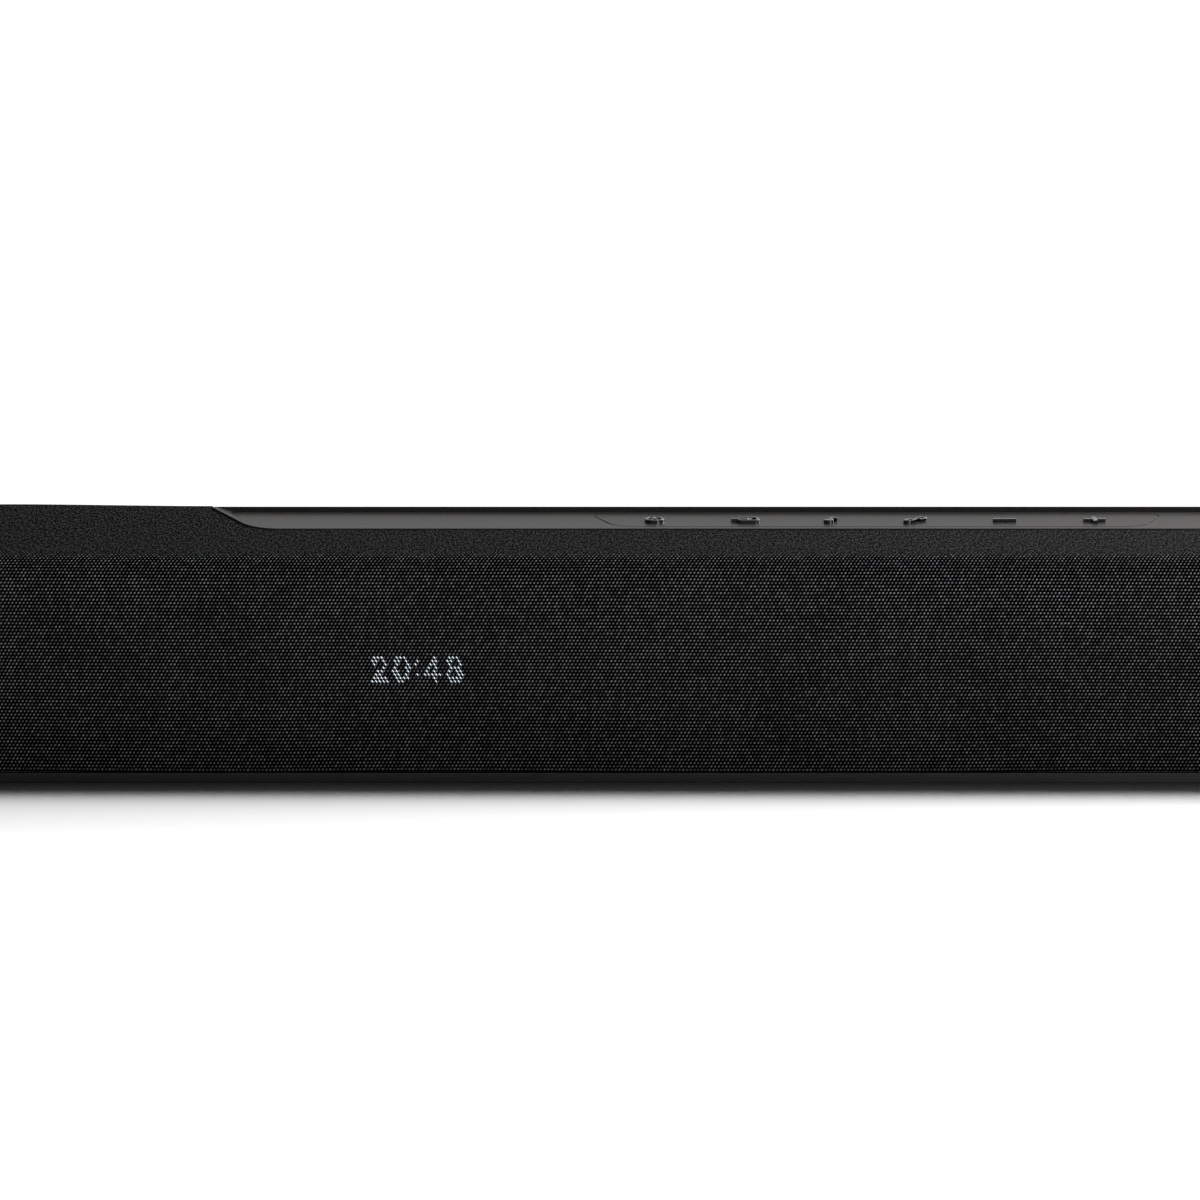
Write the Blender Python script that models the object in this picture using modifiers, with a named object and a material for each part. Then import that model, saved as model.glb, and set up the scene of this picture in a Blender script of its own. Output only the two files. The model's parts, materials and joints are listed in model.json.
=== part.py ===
"""A living-room soundbar: a long low speaker with a fabric front and a key panel let into its sloped top.

The frame is metres with +Z up. The origin is under the middle of the bar, on the surface that the feet
rest on. The grille faces -Y and +X is the viewer's right. Profiles are drawn by depth, which is counted
back from the face of the grille, and height, which is counted up from the surface.
"""
import math

import bmesh
import bpy
from mathutils import Matrix, Vector

MM = 0.001

# Overall size, the gap that neighbouring pieces keep, how far cutters run past a face and joined solids into it
WIDTH = 900 * MM
DEPTH = 115 * MM
FRONT = -DEPTH / 2
BACK = DEPTH / 2
GAP = 0.3 * MM
PAST = 5 * MM
BITE = 1 * MM

# Heights of the case
FOOT_HEIGHT = 0.9 * MM
FLOOR_TOP = 3.1 * MM
TOP_PANEL_TOP = 63.9 * MM
TOP_PANEL_THICKNESS = 2.2 * MM
REAR_PANEL_THICKNESS = 2.5 * MM
END_CAP_WIDTH = 14 * MM
END_CAP_WALL = 2.5 * MM
END_CAP_CORNER = 1 * MM
END_CAP_STEP = 3.7 * MM
BASE_SET_BACK = 0.2 * MM
HALF_BODY = WIDTH / 2 - END_CAP_WIDTH - GAP

# Grille: a vertical face, a rolled crease, a facet that rises to the rear, and a turned-down rear edge
FACET_SLOPE = math.radians(13.9)
CREASE_HEIGHT = 53.3 * MM
CREASE_RADIUS = 7 * MM
RIDGE_DEPTH = 53.2 * MM
RIDGE_RADIUS = 3.4 * MM
GRILLE_BOTTOM = FLOOR_TOP + GAP
FABRIC_EDGE_HEIGHT = 60.5 * MM
FRAME_EDGE_HEIGHT = 61.8 * MM
FABRIC_THICKNESS = 0.8 * MM
FRAME_THICKNESS = 2 * MM
FRAME_OUTER = FABRIC_THICKNESS + GAP
FRAME_INNER = FRAME_OUTER + FRAME_THICKNESS
SLOT_HEIGHT = 7 * MM
SLOT_RIB = 3.4 * MM
WINDOW_CORNER = 2.8 * MM

# Key panel: a tray whose floor is less steep than the facet, so it sinks into it towards the rear
PANEL_SLOPE = math.radians(10.2)
PANEL_THICKNESS = 2.2 * MM
TRAY_FRONT = 27 * MM
TRAY_BACK = 49 * MM
TRAY_HALF_FRONT = 150.1 * MM
TRAY_HALF_BACK = 161.9 * MM
TRAY_CORNER = 11 * MM
TRAY_GAP = 0.35 * MM
TRAY_WALL_RUN = 1.9 * MM
FLOOR_FRONT = 27.3 * MM
FLOOR_FRONT_HEIGHT = 60 * MM
FLOOR_BACK = 47.6 * MM
FLOOR_BACK_CORNER = 1 * MM
RECESS_RISE = 3 * MM
RECESS_BACK_RUN = 1.8 * MM
SHELF_HEIGHT = 64.8 * MM
STRIP_FRONT = 28.8 * MM
STRIP_BACK = 44.7 * MM
STRIP_HALF_FRONT = 63.3 * MM
STRIP_HALF_BACK = 69.5 * MM
STRIP_FRONT_CORNER = 7 * MM
STRIP_BACK_CORNER = 2 * MM
STRIP_GAP = 0.2 * MM

# Keys: a raised symbol on a plate that slides in the strip
KEY_ROW_DEPTH = 35 * MM
KEY_CENTRES = {
    "power": -54 * MM,
    "source": -32.1 * MM,
    "music": -11.4 * MM,
    "link": 8.95 * MM,
    "volume_down": 30.5 * MM,
    "volume_up": 52.2 * MM,
}
KEY_RISE = 0.76 * MM
KEY_GAP = 0.15 * MM
KEY_LINE = 0.8 * MM
KEY_SYMBOL_ROOT = 0.4 * MM
KEY_FLANGE_RADIUS = 4.2 * MM
KEY_FLANGE_THICKNESS = 0.8 * MM
KEY_STEM_RADIUS = 1.2 * MM
KEY_STEM_LENGTH = 1 * MM
KEY_TRAVEL = 0.4 * MM
DOME_HEIGHT = 1.4 * MM
DOME_RADIUS = 3 * MM
DOME_TOP_RADIUS = 1.8 * MM
DOME_CLEARANCE = 0.1 * MM
PAD_THICKNESS = 0.8 * MM
PAD_MARGIN = (10 * MM, 2 * MM)
BOARD_THICKNESS = 1.2 * MM
KEY_BOARD_HALF = 80 * MM
KEY_BOARD_HALF_DEPTH = 8 * MM
BOARD_POST_RADIUS = 1.8 * MM
BOARD_POST_INSET = 4 * MM
BOARD_POST_OFFSET = 5 * MM
BOARD_POST_ROOT = 0.5 * MM

# Drivers, measured along their own axis from the front of the mounting flange
BAFFLE_FRONT = 13.5 * MM
BAFFLE_THICKNESS = 3 * MM
BAFFLE_TOP = 52.3 * MM
DRIVER_HEIGHT = 27 * MM
DRIVER_FLANGE = 1.5 * MM
WOOFERS = {"left": -300 * MM, "centre": 0.0, "right": 300 * MM}
WOOFER_HOLE = 19.6 * MM
TWEETERS = {"left": -370 * MM, "right": 370 * MM}
TWEETER_HOLE = 10.4 * MM
WOOFER_SLOT_WIDTH = 40 * MM
TWEETER_SLOT_WIDTH = 22 * MM
SURROUND_RADIUS = 1.55
SURROUND_CENTRE = (16.15, -0.9)
SURROUND_THICKNESS = 0.5
SURROUND_STEPS = 4

# Driver sections: (radius, height) in millimetres, counted from the axis and the front of the flange
BASKET_SECTION = [
    (18, 0), (22, 0), (22, -1.5), (19.2, -1.5), (19.2, -8), (14, -13.5), (8, -13.5), (8, -12), (13.3, -12), (18, -7.4),
]
CONE_SECTION = [
    (0, -4.2), (2.5, -4.5), (4.8, -5.3), (14.3, -1), (14.3, -1.6), (5.2, -6.2), (5.2, -15), (4.6, -15), (4.6, -6),
    (2.4, -5.1), (0, -4.8),
]
MAGNET_SECTION = [
    (0, -13.8), (4.2, -13.8), (4.2, -19), (5.6, -19), (5.6, -13.8), (13, -13.8), (13, -22), (0, -22),
]
HOUSING_SECTION = [
    (0, -6), (6.8, -6), (6.8, -0.8), (9, 0), (13, 0), (13, -1.5), (10, -1.5), (10, -10), (0, -10),
]
DOME_SECTION = [
    (0, 0.4), (2.4, 0), (4.6, -1), (6.4, -3), (6.4, -3.8), (4.2, -1.7), (2.2, -0.7), (0, -0.4),
]

# Display behind the fabric, left of the middle
DISPLAY_X = -109.9 * MM
DISPLAY_HEIGHT = 27.4 * MM
DISPLAY_SIZE = (32 * MM, 14 * MM)
LENS_CORNER = 3 * MM
LENS_THICKNESS = 1.4 * MM
MATRIX_DEPTH = 4 * MM
DISPLAY_BOARD_HALF = (22 * MM, 9 * MM)
RECEIVER_X = -84 * MM
RECEIVER_MOUTH = 8 * MM
RECEIVER_HALF = (3 * MM, 3.5 * MM)
RECEIVER_THICKNESS = 3 * MM
EYE_RADIUS = 2.6 * MM
EYE_RISE = 2.1 * MM

# Rear connections
BAY_X = (60 * MM, 200 * MM)
BAY_HEIGHT = (8 * MM, 40 * MM)
BAY_DEPTH = 22 * MM
BAY_WALL = 2 * MM
SOCKET_HEIGHT = 24 * MM
SOCKET_LENGTH = 14 * MM
SOCKET_HOLLOW = 11 * MM
SOCKET_PROUD = 0.5 * MM
INLET_X = -150 * MM
INLET_HEIGHT = 24 * MM
INLET_SIZE = (24 * MM, 16 * MM)
INLET_CORNER = 1 * MM
INLET_LENGTH = 20 * MM
INLET_SET_BACK = 0.2 * MM
INLET_MOUTH = (15.4 * MM, 9.4 * MM, 4.2 * MM)
INLET_HOLLOW = 14 * MM
PIN_RADIUS = 1.2 * MM
PIN_OFFSET = 4.3 * MM
KEYHOLE_X = 300 * MM
KEYHOLE_HEIGHT = 36 * MM
KEYHOLE_RADIUS = 4.6 * MM
KEYHOLE_SLOT_RADIUS = 2 * MM
KEYHOLE_SLOT_CORNER = 1.96 * MM
KEYHOLE_RISE = 10 * MM

# Feet and screws
FOOT_X = 400 * MM
FOOT_Y = 44 * MM
FOOT_RADIUS = 9 * MM
FOOT_POCKET = 1 * MM
SCREW_X = 350 * MM
SCREW_YS = {"front": -35 * MM, "rear": 49 * MM}
SCREW_HEAD_RADIUS = 3 * MM
SCREW_HEAD_THICKNESS = 1 * MM
SCREW_HEAD_SUNK = 0.1 * MM
SCREW_SEAT = 1.4 * MM
SCREW_SHANK_RADIUS = 1.35 * MM
SCREW_LENGTH = 10 * MM
BOSS_RADIUS = 3.8 * MM
BOSS_TOP = 14 * MM
BOSS_SKIN = 1.5 * MM
BOSS_WEB_HALF = 1.5 * MM

# Electronics on the floor of the case
BOARD_LOW = FLOOR_TOP + 5 * MM
MAIN_BOARD_THICKNESS = 1.6 * MM
BOARD_Y = (-14 * MM, 30 * MM)
MAIN_BOARD_X = (-70 * MM, 45 * MM)
POWER_BOARD_X = (-290 * MM, -170 * MM)
FIN_COUNT = 7
FIN_PITCH = 5 * MM
FIN_THICKNESS = 1.6 * MM
SINK_FOOT = 3 * MM
SINK_HEIGHT = 18 * MM
SINK_HALF_LENGTH = 20 * MM
SINK_CENTRE = (-35 * MM, -8 * MM)
WIRELESS_X = (15 * MM, 38 * MM)
WIRELESS_Y = (0.0, 18 * MM)
WIRELESS_HEIGHT = 3.5 * MM
TRANSFORMER_X = (-230 * MM, -198 * MM)
TRANSFORMER_Y = (-8 * MM, 20 * MM)
TRANSFORMER_HEIGHT = 26 * MM
CAPACITOR_XS = (-262 * MM, -246 * MM)
CAPACITOR_Y = 2 * MM
CAPACITOR_RADIUS = 6.5 * MM
CAPACITOR_HEIGHT = 24 * MM

ARC_STEP = math.radians(15)
FINE_ARC_STEP = math.radians(10)
ROUND_SEGMENTS = 16
SMALL_SEGMENTS = 12

# Finishes: colour, roughness, metallic
FINISHES = {
    "fabric": ((0.012, 0.012, 0.013), 0.95, 0.0),
    "case_plastic": ((0.011, 0.011, 0.011), 0.35, 0.0),
    "inner_plastic": ((0.02, 0.02, 0.02), 0.6, 0.0),
    "panel_metal": ((0.09, 0.085, 0.08), 0.35, 0.8),
    "key_gloss": ((0.35, 0.35, 0.36), 0.15, 0.9),
    "smoked_lens": ((0.03, 0.03, 0.035), 0.1, 0.0),
    "circuit_board": ((0.01, 0.07, 0.03), 0.5, 0.0),
    "rubber": ((0.015, 0.015, 0.015), 0.8, 0.0),
    "silicone": ((0.25, 0.25, 0.26), 0.6, 0.0),
    "paper_cone": ((0.03, 0.03, 0.03), 0.9, 0.0),
    "stamped_steel": ((0.3, 0.3, 0.3), 0.4, 1.0),
    "magnet": ((0.05, 0.05, 0.055), 0.6, 0.3),
    "soft_dome": ((0.08, 0.07, 0.05), 0.5, 0.0),
    "aluminium": ((0.5, 0.5, 0.5), 0.4, 1.0),
    "connector": ((0.015, 0.015, 0.015), 0.5, 0.0),
    "screw_steel": ((0.05, 0.05, 0.05), 0.35, 1.0),
}


# ---------------------------------------------------------------- collections, materials, placing

def empty_scene():
    for obj in list(bpy.data.objects):
        bpy.data.objects.remove(obj, do_unlink=True)


def new_collection(name):
    collection = bpy.data.collections.new(name)
    bpy.context.scene.collection.children.link(collection)
    return collection


def principled(name, finish):
    colour, roughness, metallic = FINISHES[finish]
    material = bpy.data.materials.new(name)
    material.use_nodes = True
    shader = material.node_tree.nodes["Principled BSDF"]
    shader.inputs["Base Color"].default_value = (*colour, 1)
    shader.inputs["Roughness"].default_value = roughness
    shader.inputs["Metallic"].default_value = metallic
    material.diffuse_color = (*colour, 1)
    return material


def place(obj, collection):
    for holder in list(obj.users_collection):
        holder.objects.unlink(obj)
    collection.objects.link(obj)


def as_part(obj, name, finish):
    """Name a finished shape, give it its own material and file it with the parts."""
    place(obj, PARTS)
    obj.name = name
    obj.data.name = name
    obj.data.materials.clear()
    obj.data.materials.append(principled(name, finish))
    return obj


def as_cutter(obj):
    place(obj, CUTTERS)
    obj.hide_render = True
    obj.display_type = "WIRE"
    return obj


def boolean(target, other, operation):
    as_cutter(other)
    modifier = target.modifiers.new(operation.lower(), "BOOLEAN")
    modifier.operation = operation
    modifier.solver = "EXACT"
    modifier.object = other
    return target


def cut(target, *cutters):
    for cutter in cutters:
        boolean(target, cutter, "DIFFERENCE")
    return target


def join(target, *others):
    for other in others:
        boolean(target, other, "UNION")
    return target


# ---------------------------------------------------------------- outlines

def rounded(corners, step=ARC_STEP):
    """A closed outline from (x, y, radius) corners, with every rounded corner drawn as an arc."""
    outline = []
    for index, (x, y, radius) in enumerate(corners):
        corner = Vector((x, y))
        if radius <= 0:
            outline.append(corner)
            continue
        before = (Vector(corners[index - 1][:2]) - corner).normalized()
        after = (Vector(corners[(index + 1) % len(corners)][:2]) - corner).normalized()
        half_angle = before.angle(after) / 2
        centre = corner + (before + after).normalized() * radius / math.sin(half_angle)
        start = corner + before * radius / math.tan(half_angle) - centre
        end = corner + after * radius / math.tan(half_angle) - centre
        sweep = start.angle_signed(end)
        count = max(2, round(abs(sweep) / step))
        for number in range(count + 1):
            turn = Matrix.Rotation(-sweep * number / count, 2)
            outline.append(centre + turn @ start)
    return [tuple(point) for point in outline]


def rectangle(width, height, radius=0.0, centre=(0.0, 0.0), turn=0.0, step=2 * ARC_STEP):
    corners = []
    for across, up in ((-1, -1), (1, -1), (1, 1), (-1, 1)):
        corner = Matrix.Rotation(turn, 2) @ Vector((across * width / 2, up * height / 2))
        corners.append((corner.x + centre[0], corner.y + centre[1], radius))
    return rounded(corners, step)


def circle(radius, centre=(0.0, 0.0), segments=ROUND_SEGMENTS):
    angles = [math.tau * number / segments for number in range(segments)]
    return [(centre[0] + radius * math.cos(a), centre[1] + radius * math.sin(a)) for a in angles]


def facet_height(depth):
    return CREASE_HEIGHT + depth * math.tan(FACET_SLOPE)


def shell_section(outer, inner, bottom, end):
    """The section of a bent sheet between two distances inside the grille's outer face."""
    sides = []
    for inset in (outer, inner):
        drop = inset / math.cos(FACET_SLOPE)
        back = RIDGE_DEPTH - inset
        sides.append([
            (inset, bottom, 0),
            (inset, facet_height(inset) - drop, CREASE_RADIUS - inset),
            (back, facet_height(back) - drop, RIDGE_RADIUS - inset),
            (back, end, 0),
        ])
    return rounded(sides[0] + sides[1][::-1], FINE_ARC_STEP)


def cap_section(inset):
    """The whole section of the bar at its ends, drawn a given distance inside its outer face."""
    low = FOOT_HEIGHT + inset
    high = TOP_PANEL_TOP - inset
    drop = inset / math.cos(FACET_SLOPE)
    ridge = RIDGE_DEPTH - END_CAP_STEP - inset
    corner = END_CAP_CORNER
    return rounded([
        (inset, low, corner),
        (inset, facet_height(inset) - drop, CREASE_RADIUS - inset),
        (ridge, facet_height(ridge) - drop, 0),
        (RIDGE_DEPTH + corner, high, 0),
        (DEPTH - inset, high, corner),
        (DEPTH - inset, low, corner),
    ])


def tray_outline(grow=0.0, back_edge=RIDGE_DEPTH):
    """The tray in plan: straight at the rear, slanted at its ends, with rounded front corners."""
    half = []
    half.append((TRAY_HALF_FRONT + grow, FRONT + TRAY_FRONT - grow, TRAY_CORNER + grow))
    half.append((TRAY_HALF_BACK + grow, FRONT + TRAY_BACK, 0))
    half.append((TRAY_HALF_BACK + grow, FRONT + back_edge, 0))
    return rounded(half + [(-x, y, radius) for x, y, radius in half[::-1]])


# ---------------------------------------------------------------- solids

def from_mesh(mesh, name):
    obj = bpy.data.objects.new(name, mesh)
    bpy.context.scene.collection.objects.link(obj)
    return obj


def prism(loops, low, high, name="prism"):
    """Straight solid over a flat outline in XY; loops inside the first one are holes."""
    curve = bpy.data.curves.new(name, "CURVE")
    curve.dimensions = "2D"
    curve.fill_mode = "BOTH"
    curve.extrude = (high - low) / 2
    for loop in loops:
        spline = curve.splines.new("POLY")
        spline.points.add(len(loop) - 1)
        for point, (x, y) in zip(spline.points, loop):
            point.co = (x, y, 0, 1)
        spline.use_cyclic_u = True
    drawing = bpy.data.objects.new(name, curve)
    bpy.context.scene.collection.objects.link(drawing)
    bpy.context.view_layer.update()
    evaluated = drawing.evaluated_get(bpy.context.evaluated_depsgraph_get())
    mesh = bpy.data.meshes.new_from_object(evaluated)
    bpy.data.objects.remove(drawing, do_unlink=True)
    tidy = bmesh.new()
    tidy.from_mesh(mesh)
    bmesh.ops.remove_doubles(tidy, verts=tidy.verts, dist=1e-6)
    bmesh.ops.translate(tidy, verts=tidy.verts, vec=(0, 0, (high + low) / 2))
    bmesh.ops.recalc_face_normals(tidy, faces=tidy.faces)
    tidy.to_mesh(mesh)
    tidy.free()
    return from_mesh(mesh, name)


def run_of(section, x_low, x_high, name="run"):
    """A (depth, height) section run along X."""
    solid = prism([section], x_low, x_high, name)
    turn = Matrix(((0, 0, 1), (1, 0, 0), (0, 1, 0)))
    solid.rotation_euler = turn.to_euler()
    solid.location.y = FRONT
    return solid


def panel_cut(loops, y_low, y_high, name="panel_cut"):
    """A prism over an outline in XZ that runs from front to rear."""
    solid = prism(loops, -y_high, -y_low, name)
    solid.rotation_euler.x = math.radians(90)
    return solid


def block(low, high, name="block"):
    size = Vector(high) - Vector(low)
    bpy.ops.mesh.primitive_cube_add(size=1, location=(Vector(low) + Vector(high)) / 2)
    solid = bpy.context.object
    solid.name = name
    solid.scale = size
    bpy.ops.object.transform_apply(location=False, rotation=False, scale=True)
    return solid


def cylinder(radius, low, high, centre=(0.0, 0.0), name="cylinder", segments=ROUND_SEGMENTS, top_radius=None):
    bpy.ops.mesh.primitive_cone_add(
        vertices=segments,
        radius1=radius,
        radius2=radius if top_radius is None else top_radius,
        depth=high - low,
        location=(centre[0], centre[1], (low + high) / 2),
    )
    solid = bpy.context.object
    solid.name = name
    smooth(solid)
    return solid


def smooth(solid):
    solid.data.shade_smooth()
    solid.data.set_sharp_from_angle(angle=math.radians(35))


def turned(profile, closed, name="turned"):
    """Turn a (radius, height) profile about Z; an open profile starts and ends on the axis."""
    points = [(radius, 0, height) for radius, height in profile]
    edges = [(index, index + 1) for index in range(len(points) - 1)]
    if closed:
        edges.append((len(points) - 1, 0))
    mesh = bpy.data.meshes.new(name)
    mesh.from_pydata(points, edges, [])
    solid = from_mesh(mesh, name)
    screw = solid.modifiers.new("turn", "SCREW")
    screw.steps = ROUND_SEGMENTS
    screw.render_steps = ROUND_SEGMENTS
    screw.use_merge_vertices = True
    screw.merge_threshold = 1e-6
    screw.use_smooth_shade = True
    return solid


def loft(low_loop, low, high_loop, high, name="loft"):
    """A closed solid between two outlines of equally many points at two heights."""
    shape = bmesh.new()
    bottom = [shape.verts.new((x, y, low)) for x, y in low_loop]
    top = [shape.verts.new((x, y, high)) for x, y in high_loop]
    count = len(bottom)
    for index in range(count):
        after = (index + 1) % count
        shape.faces.new((bottom[index], bottom[after], top[after], top[index]))
    shape.faces.new(bottom)
    shape.faces.new(top)
    bmesh.ops.recalc_face_normals(shape, faces=shape.faces)
    mesh = bpy.data.meshes.new(name)
    shape.to_mesh(mesh)
    shape.free()
    return from_mesh(mesh, name)


def frame_empty(name, location, tilt):
    empty = bpy.data.objects.new(name, None)
    empty.empty_display_size = 10 * MM
    empty.location = location
    empty.rotation_euler.x = tilt
    PARTS.objects.link(empty)
    return empty


def on_frame(solid, empty):
    solid.parent = empty
    return solid


# ---------------------------------------------------------------- case

def make_base():
    base = block((-HALF_BODY, FRONT + BASE_SET_BACK, FOOT_HEIGHT), (HALF_BODY, BACK, FLOOR_TOP))
    as_part(base, "base_chassis", "case_plastic")
    for x, y in foot_places().values():
        pocket = FOOT_HEIGHT + FOOT_POCKET
        cut(base, cylinder(FOOT_RADIUS + GAP, FOOT_HEIGHT - PAST, pocket, (x, y), "foot_pocket"))
    for x, y in screw_places().values():
        cut(base, cylinder(SCREW_SHANK_RADIUS + GAP, 0, FLOOR_TOP + PAST, (x, y), "screw_hole"))
        seat = FOOT_HEIGHT + SCREW_SEAT
        cut(base, cylinder(SCREW_HEAD_RADIUS + GAP, FOOT_HEIGHT - PAST, seat, (x, y), "screw_seat"))


def foot_places():
    places = {}
    for side, x in (("left", -FOOT_X), ("right", FOOT_X)):
        for end, y in (("front", -FOOT_Y), ("rear", FOOT_Y)):
            places[f"{end}_{side}"] = (x, y)
    return places


def screw_places():
    places = {}
    for side, x in (("left", -SCREW_X), ("right", SCREW_X)):
        for end, y in SCREW_YS.items():
            places[f"{end}_{side}"] = (x, y)
    return places


def make_feet():
    top = FOOT_HEIGHT + FOOT_POCKET - GAP
    for name, place_xy in foot_places().items():
        foot = cylinder(FOOT_RADIUS, 0, top, place_xy)
        as_part(foot, f"foot_{name}", "rubber")


def make_screws():
    head_low = FOOT_HEIGHT + SCREW_HEAD_SUNK
    head_high = head_low + SCREW_HEAD_THICKNESS
    for name, (x, y) in screw_places().items():
        profile = [
            (0, head_high + SCREW_LENGTH),
            (SCREW_SHANK_RADIUS, head_high + SCREW_LENGTH),
            (SCREW_SHANK_RADIUS, head_high),
            (SCREW_HEAD_RADIUS, head_high),
            (SCREW_HEAD_RADIUS, head_low),
            (0, head_low),
        ]
        screw = turned(profile, closed=False)
        screw.location = (x, y, 0)
        as_part(screw, f"screw_{name}", "screw_steel")


def boss(x, y, wall_y):
    """A screw post with a web to the wall that carries it."""
    low = FLOOR_TOP + GAP
    post = cylinder(BOSS_RADIUS, low, BOSS_TOP, (x, y), "boss")
    y_low, y_high = sorted((y, wall_y))
    web = block((x - BOSS_WEB_HALF, y_low, low + BITE), (x + BOSS_WEB_HALF, y_high, BOSS_TOP - BITE), "boss_web")
    hole = cylinder(SCREW_SHANK_RADIUS + GAP, 0, BOSS_TOP - BOSS_SKIN, (x, y), "boss_hole")
    return post, web, hole


def make_rear_panel():
    low = FLOOR_TOP + GAP
    high = TOP_PANEL_TOP - TOP_PANEL_THICKNESS - GAP
    inner = BACK - REAR_PANEL_THICKNESS
    panel = block((-HALF_BODY, inner, low), (HALF_BODY, BACK, high))
    as_part(panel, "rear_panel", "case_plastic")
    for (x, y) in (place_xy for name, place_xy in screw_places().items() if name.startswith("rear")):
        post, web, hole = boss(x, y, inner + BITE)
        join(panel, post, web)
        cut(panel, hole)
    cut(panel, block(
        (BAY_X[0], inner - PAST, BAY_HEIGHT[0]),
        (BAY_X[1], BACK + PAST, BAY_HEIGHT[1]),
        "bay_mouth",
    ))
    width, height = INLET_SIZE
    inlet = rectangle(width + 2 * GAP, height + 2 * GAP, INLET_CORNER, (INLET_X, INLET_HEIGHT))
    cut(panel, panel_cut([inlet], inner - PAST, BACK + PAST, "inlet_mouth"))
    for x in (-KEYHOLE_X, KEYHOLE_X):
        head = circle(KEYHOLE_RADIUS, (x, KEYHOLE_HEIGHT))
        slot = rectangle(
            2 * KEYHOLE_SLOT_RADIUS,
            KEYHOLE_RISE + KEYHOLE_SLOT_RADIUS,
            KEYHOLE_SLOT_CORNER,
            (x, KEYHOLE_HEIGHT + KEYHOLE_RISE / 2),
        )
        cut(panel, panel_cut([head], inner - PAST, BACK + PAST, "keyhole_head"))
        cut(panel, panel_cut([slot], inner - PAST, BACK + PAST, "keyhole_slot"))


def make_top_panel():
    low = TOP_PANEL_TOP - TOP_PANEL_THICKNESS
    panel = block((-HALF_BODY, FRONT + RIDGE_DEPTH + GAP, low), (HALF_BODY, BACK, TOP_PANEL_TOP))
    as_part(panel, "top_panel", "case_plastic")


def make_end_caps():
    for side, name in ((-1, "end_cap_left"), (1, "end_cap_right")):
        inner, outer = sorted((side * (WIDTH / 2 - END_CAP_WIDTH), side * WIDTH / 2))
        cap = run_of(cap_section(0), inner, outer)
        as_part(cap, name, "case_plastic")
        floor = side * (WIDTH / 2 - END_CAP_WALL)
        mouth = side * (WIDTH / 2 - END_CAP_WIDTH - PAST)
        hollow_low, hollow_high = sorted((floor, mouth))
        cut(cap, run_of(cap_section(END_CAP_WALL), hollow_low, hollow_high, "cap_hollow"))


# ---------------------------------------------------------------- grille

def tray_opening():
    opening = prism(
        [tray_outline(TRAY_GAP, RIDGE_DEPTH + PAST)],
        CREASE_HEIGHT - PAST,
        TOP_PANEL_TOP + PAST,
        "tray_opening",
    )
    return opening


def make_fabric():
    section = shell_section(0, FABRIC_THICKNESS, GRILLE_BOTTOM, FABRIC_EDGE_HEIGHT)
    fabric = run_of(section, -HALF_BODY, HALF_BODY)
    as_part(fabric, "grille_fabric", "fabric")
    cut(fabric, tray_opening())


def frame_window(x, height, width, tall, name):
    low_y = FRONT + FABRIC_THICKNESS + GAP / 2
    high_y = FRONT + FRAME_INNER + BITE
    outline = rectangle(width, tall, WINDOW_CORNER, (x, height))
    return panel_cut([outline], low_y, high_y, name)


def cut_sound_slots(frame, x, width, count, name):
    """Open a stack of ribbed slots in front of a driver."""
    pitch = SLOT_HEIGHT + SLOT_RIB
    for number in range(count):
        height = DRIVER_HEIGHT + pitch * (number - (count - 1) / 2)
        cut(frame, frame_window(x, height, width, SLOT_HEIGHT, f"{name}_slot_{number + 1}"))


def make_grille_frames():
    """The two moulded frames under the fabric, which meet along the middle of the crease."""
    section = shell_section(FRAME_OUTER, FRAME_INNER, GRILLE_BOTTOM, FRAME_EDGE_HEIGHT)
    crease_turn = math.pi / 2 - FACET_SLOPE
    crease_axis = facet_height(CREASE_RADIUS) - CREASE_RADIUS / math.cos(FACET_SLOPE)
    split = frame_empty("crease_split", (0, FRONT + CREASE_RADIUS, crease_axis), -crease_turn / 2)
    front = run_of(section, -HALF_BODY, HALF_BODY)
    as_part(front, "grille_frame_front", "inner_plastic")
    above = block((-WIDTH, -DEPTH, -GAP / 2), (WIDTH, DEPTH, DEPTH), "above_crease")
    cut(front, on_frame(above, split))
    for side, x in WOOFERS.items():
        cut_sound_slots(front, x, WOOFER_SLOT_WIDTH, 4, f"woofer_{side}")
    for side, x in TWEETERS.items():
        cut_sound_slots(front, x, TWEETER_SLOT_WIDTH, 2, f"tweeter_{side}")
    width, tall = DISPLAY_SIZE
    cut(front, frame_window(DISPLAY_X, DISPLAY_HEIGHT, width + 2 * GAP, tall + 2 * GAP, "display_mouth"))
    cut(front, frame_window(RECEIVER_X, DISPLAY_HEIGHT, RECEIVER_MOUTH, RECEIVER_MOUTH, "receiver_mouth"))
    top = run_of(section, -HALF_BODY, HALF_BODY)
    as_part(top, "grille_frame_top", "inner_plastic")
    below = block((-WIDTH, -DEPTH, -DEPTH), (WIDTH, DEPTH, GAP / 2), "below_crease")
    cut(top, on_frame(below, split))
    cut(top, tray_opening())


# ---------------------------------------------------------------- key panel

def on_floor(depth):
    """Distance along the tray floor from the row of keys, for a depth behind the grille face."""
    return (depth - KEY_ROW_DEPTH) / math.cos(PANEL_SLOPE)


def strip_outline(grow=0.0):
    front = on_floor(STRIP_FRONT) - grow
    back = on_floor(STRIP_BACK) + grow
    half = [
        (STRIP_HALF_FRONT + grow, front, STRIP_FRONT_CORNER + grow),
        (STRIP_HALF_BACK + grow, back, STRIP_BACK_CORNER + grow),
    ]
    return rounded(half + [(-x, y, radius) for x, y, radius in half[::-1]])


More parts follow.
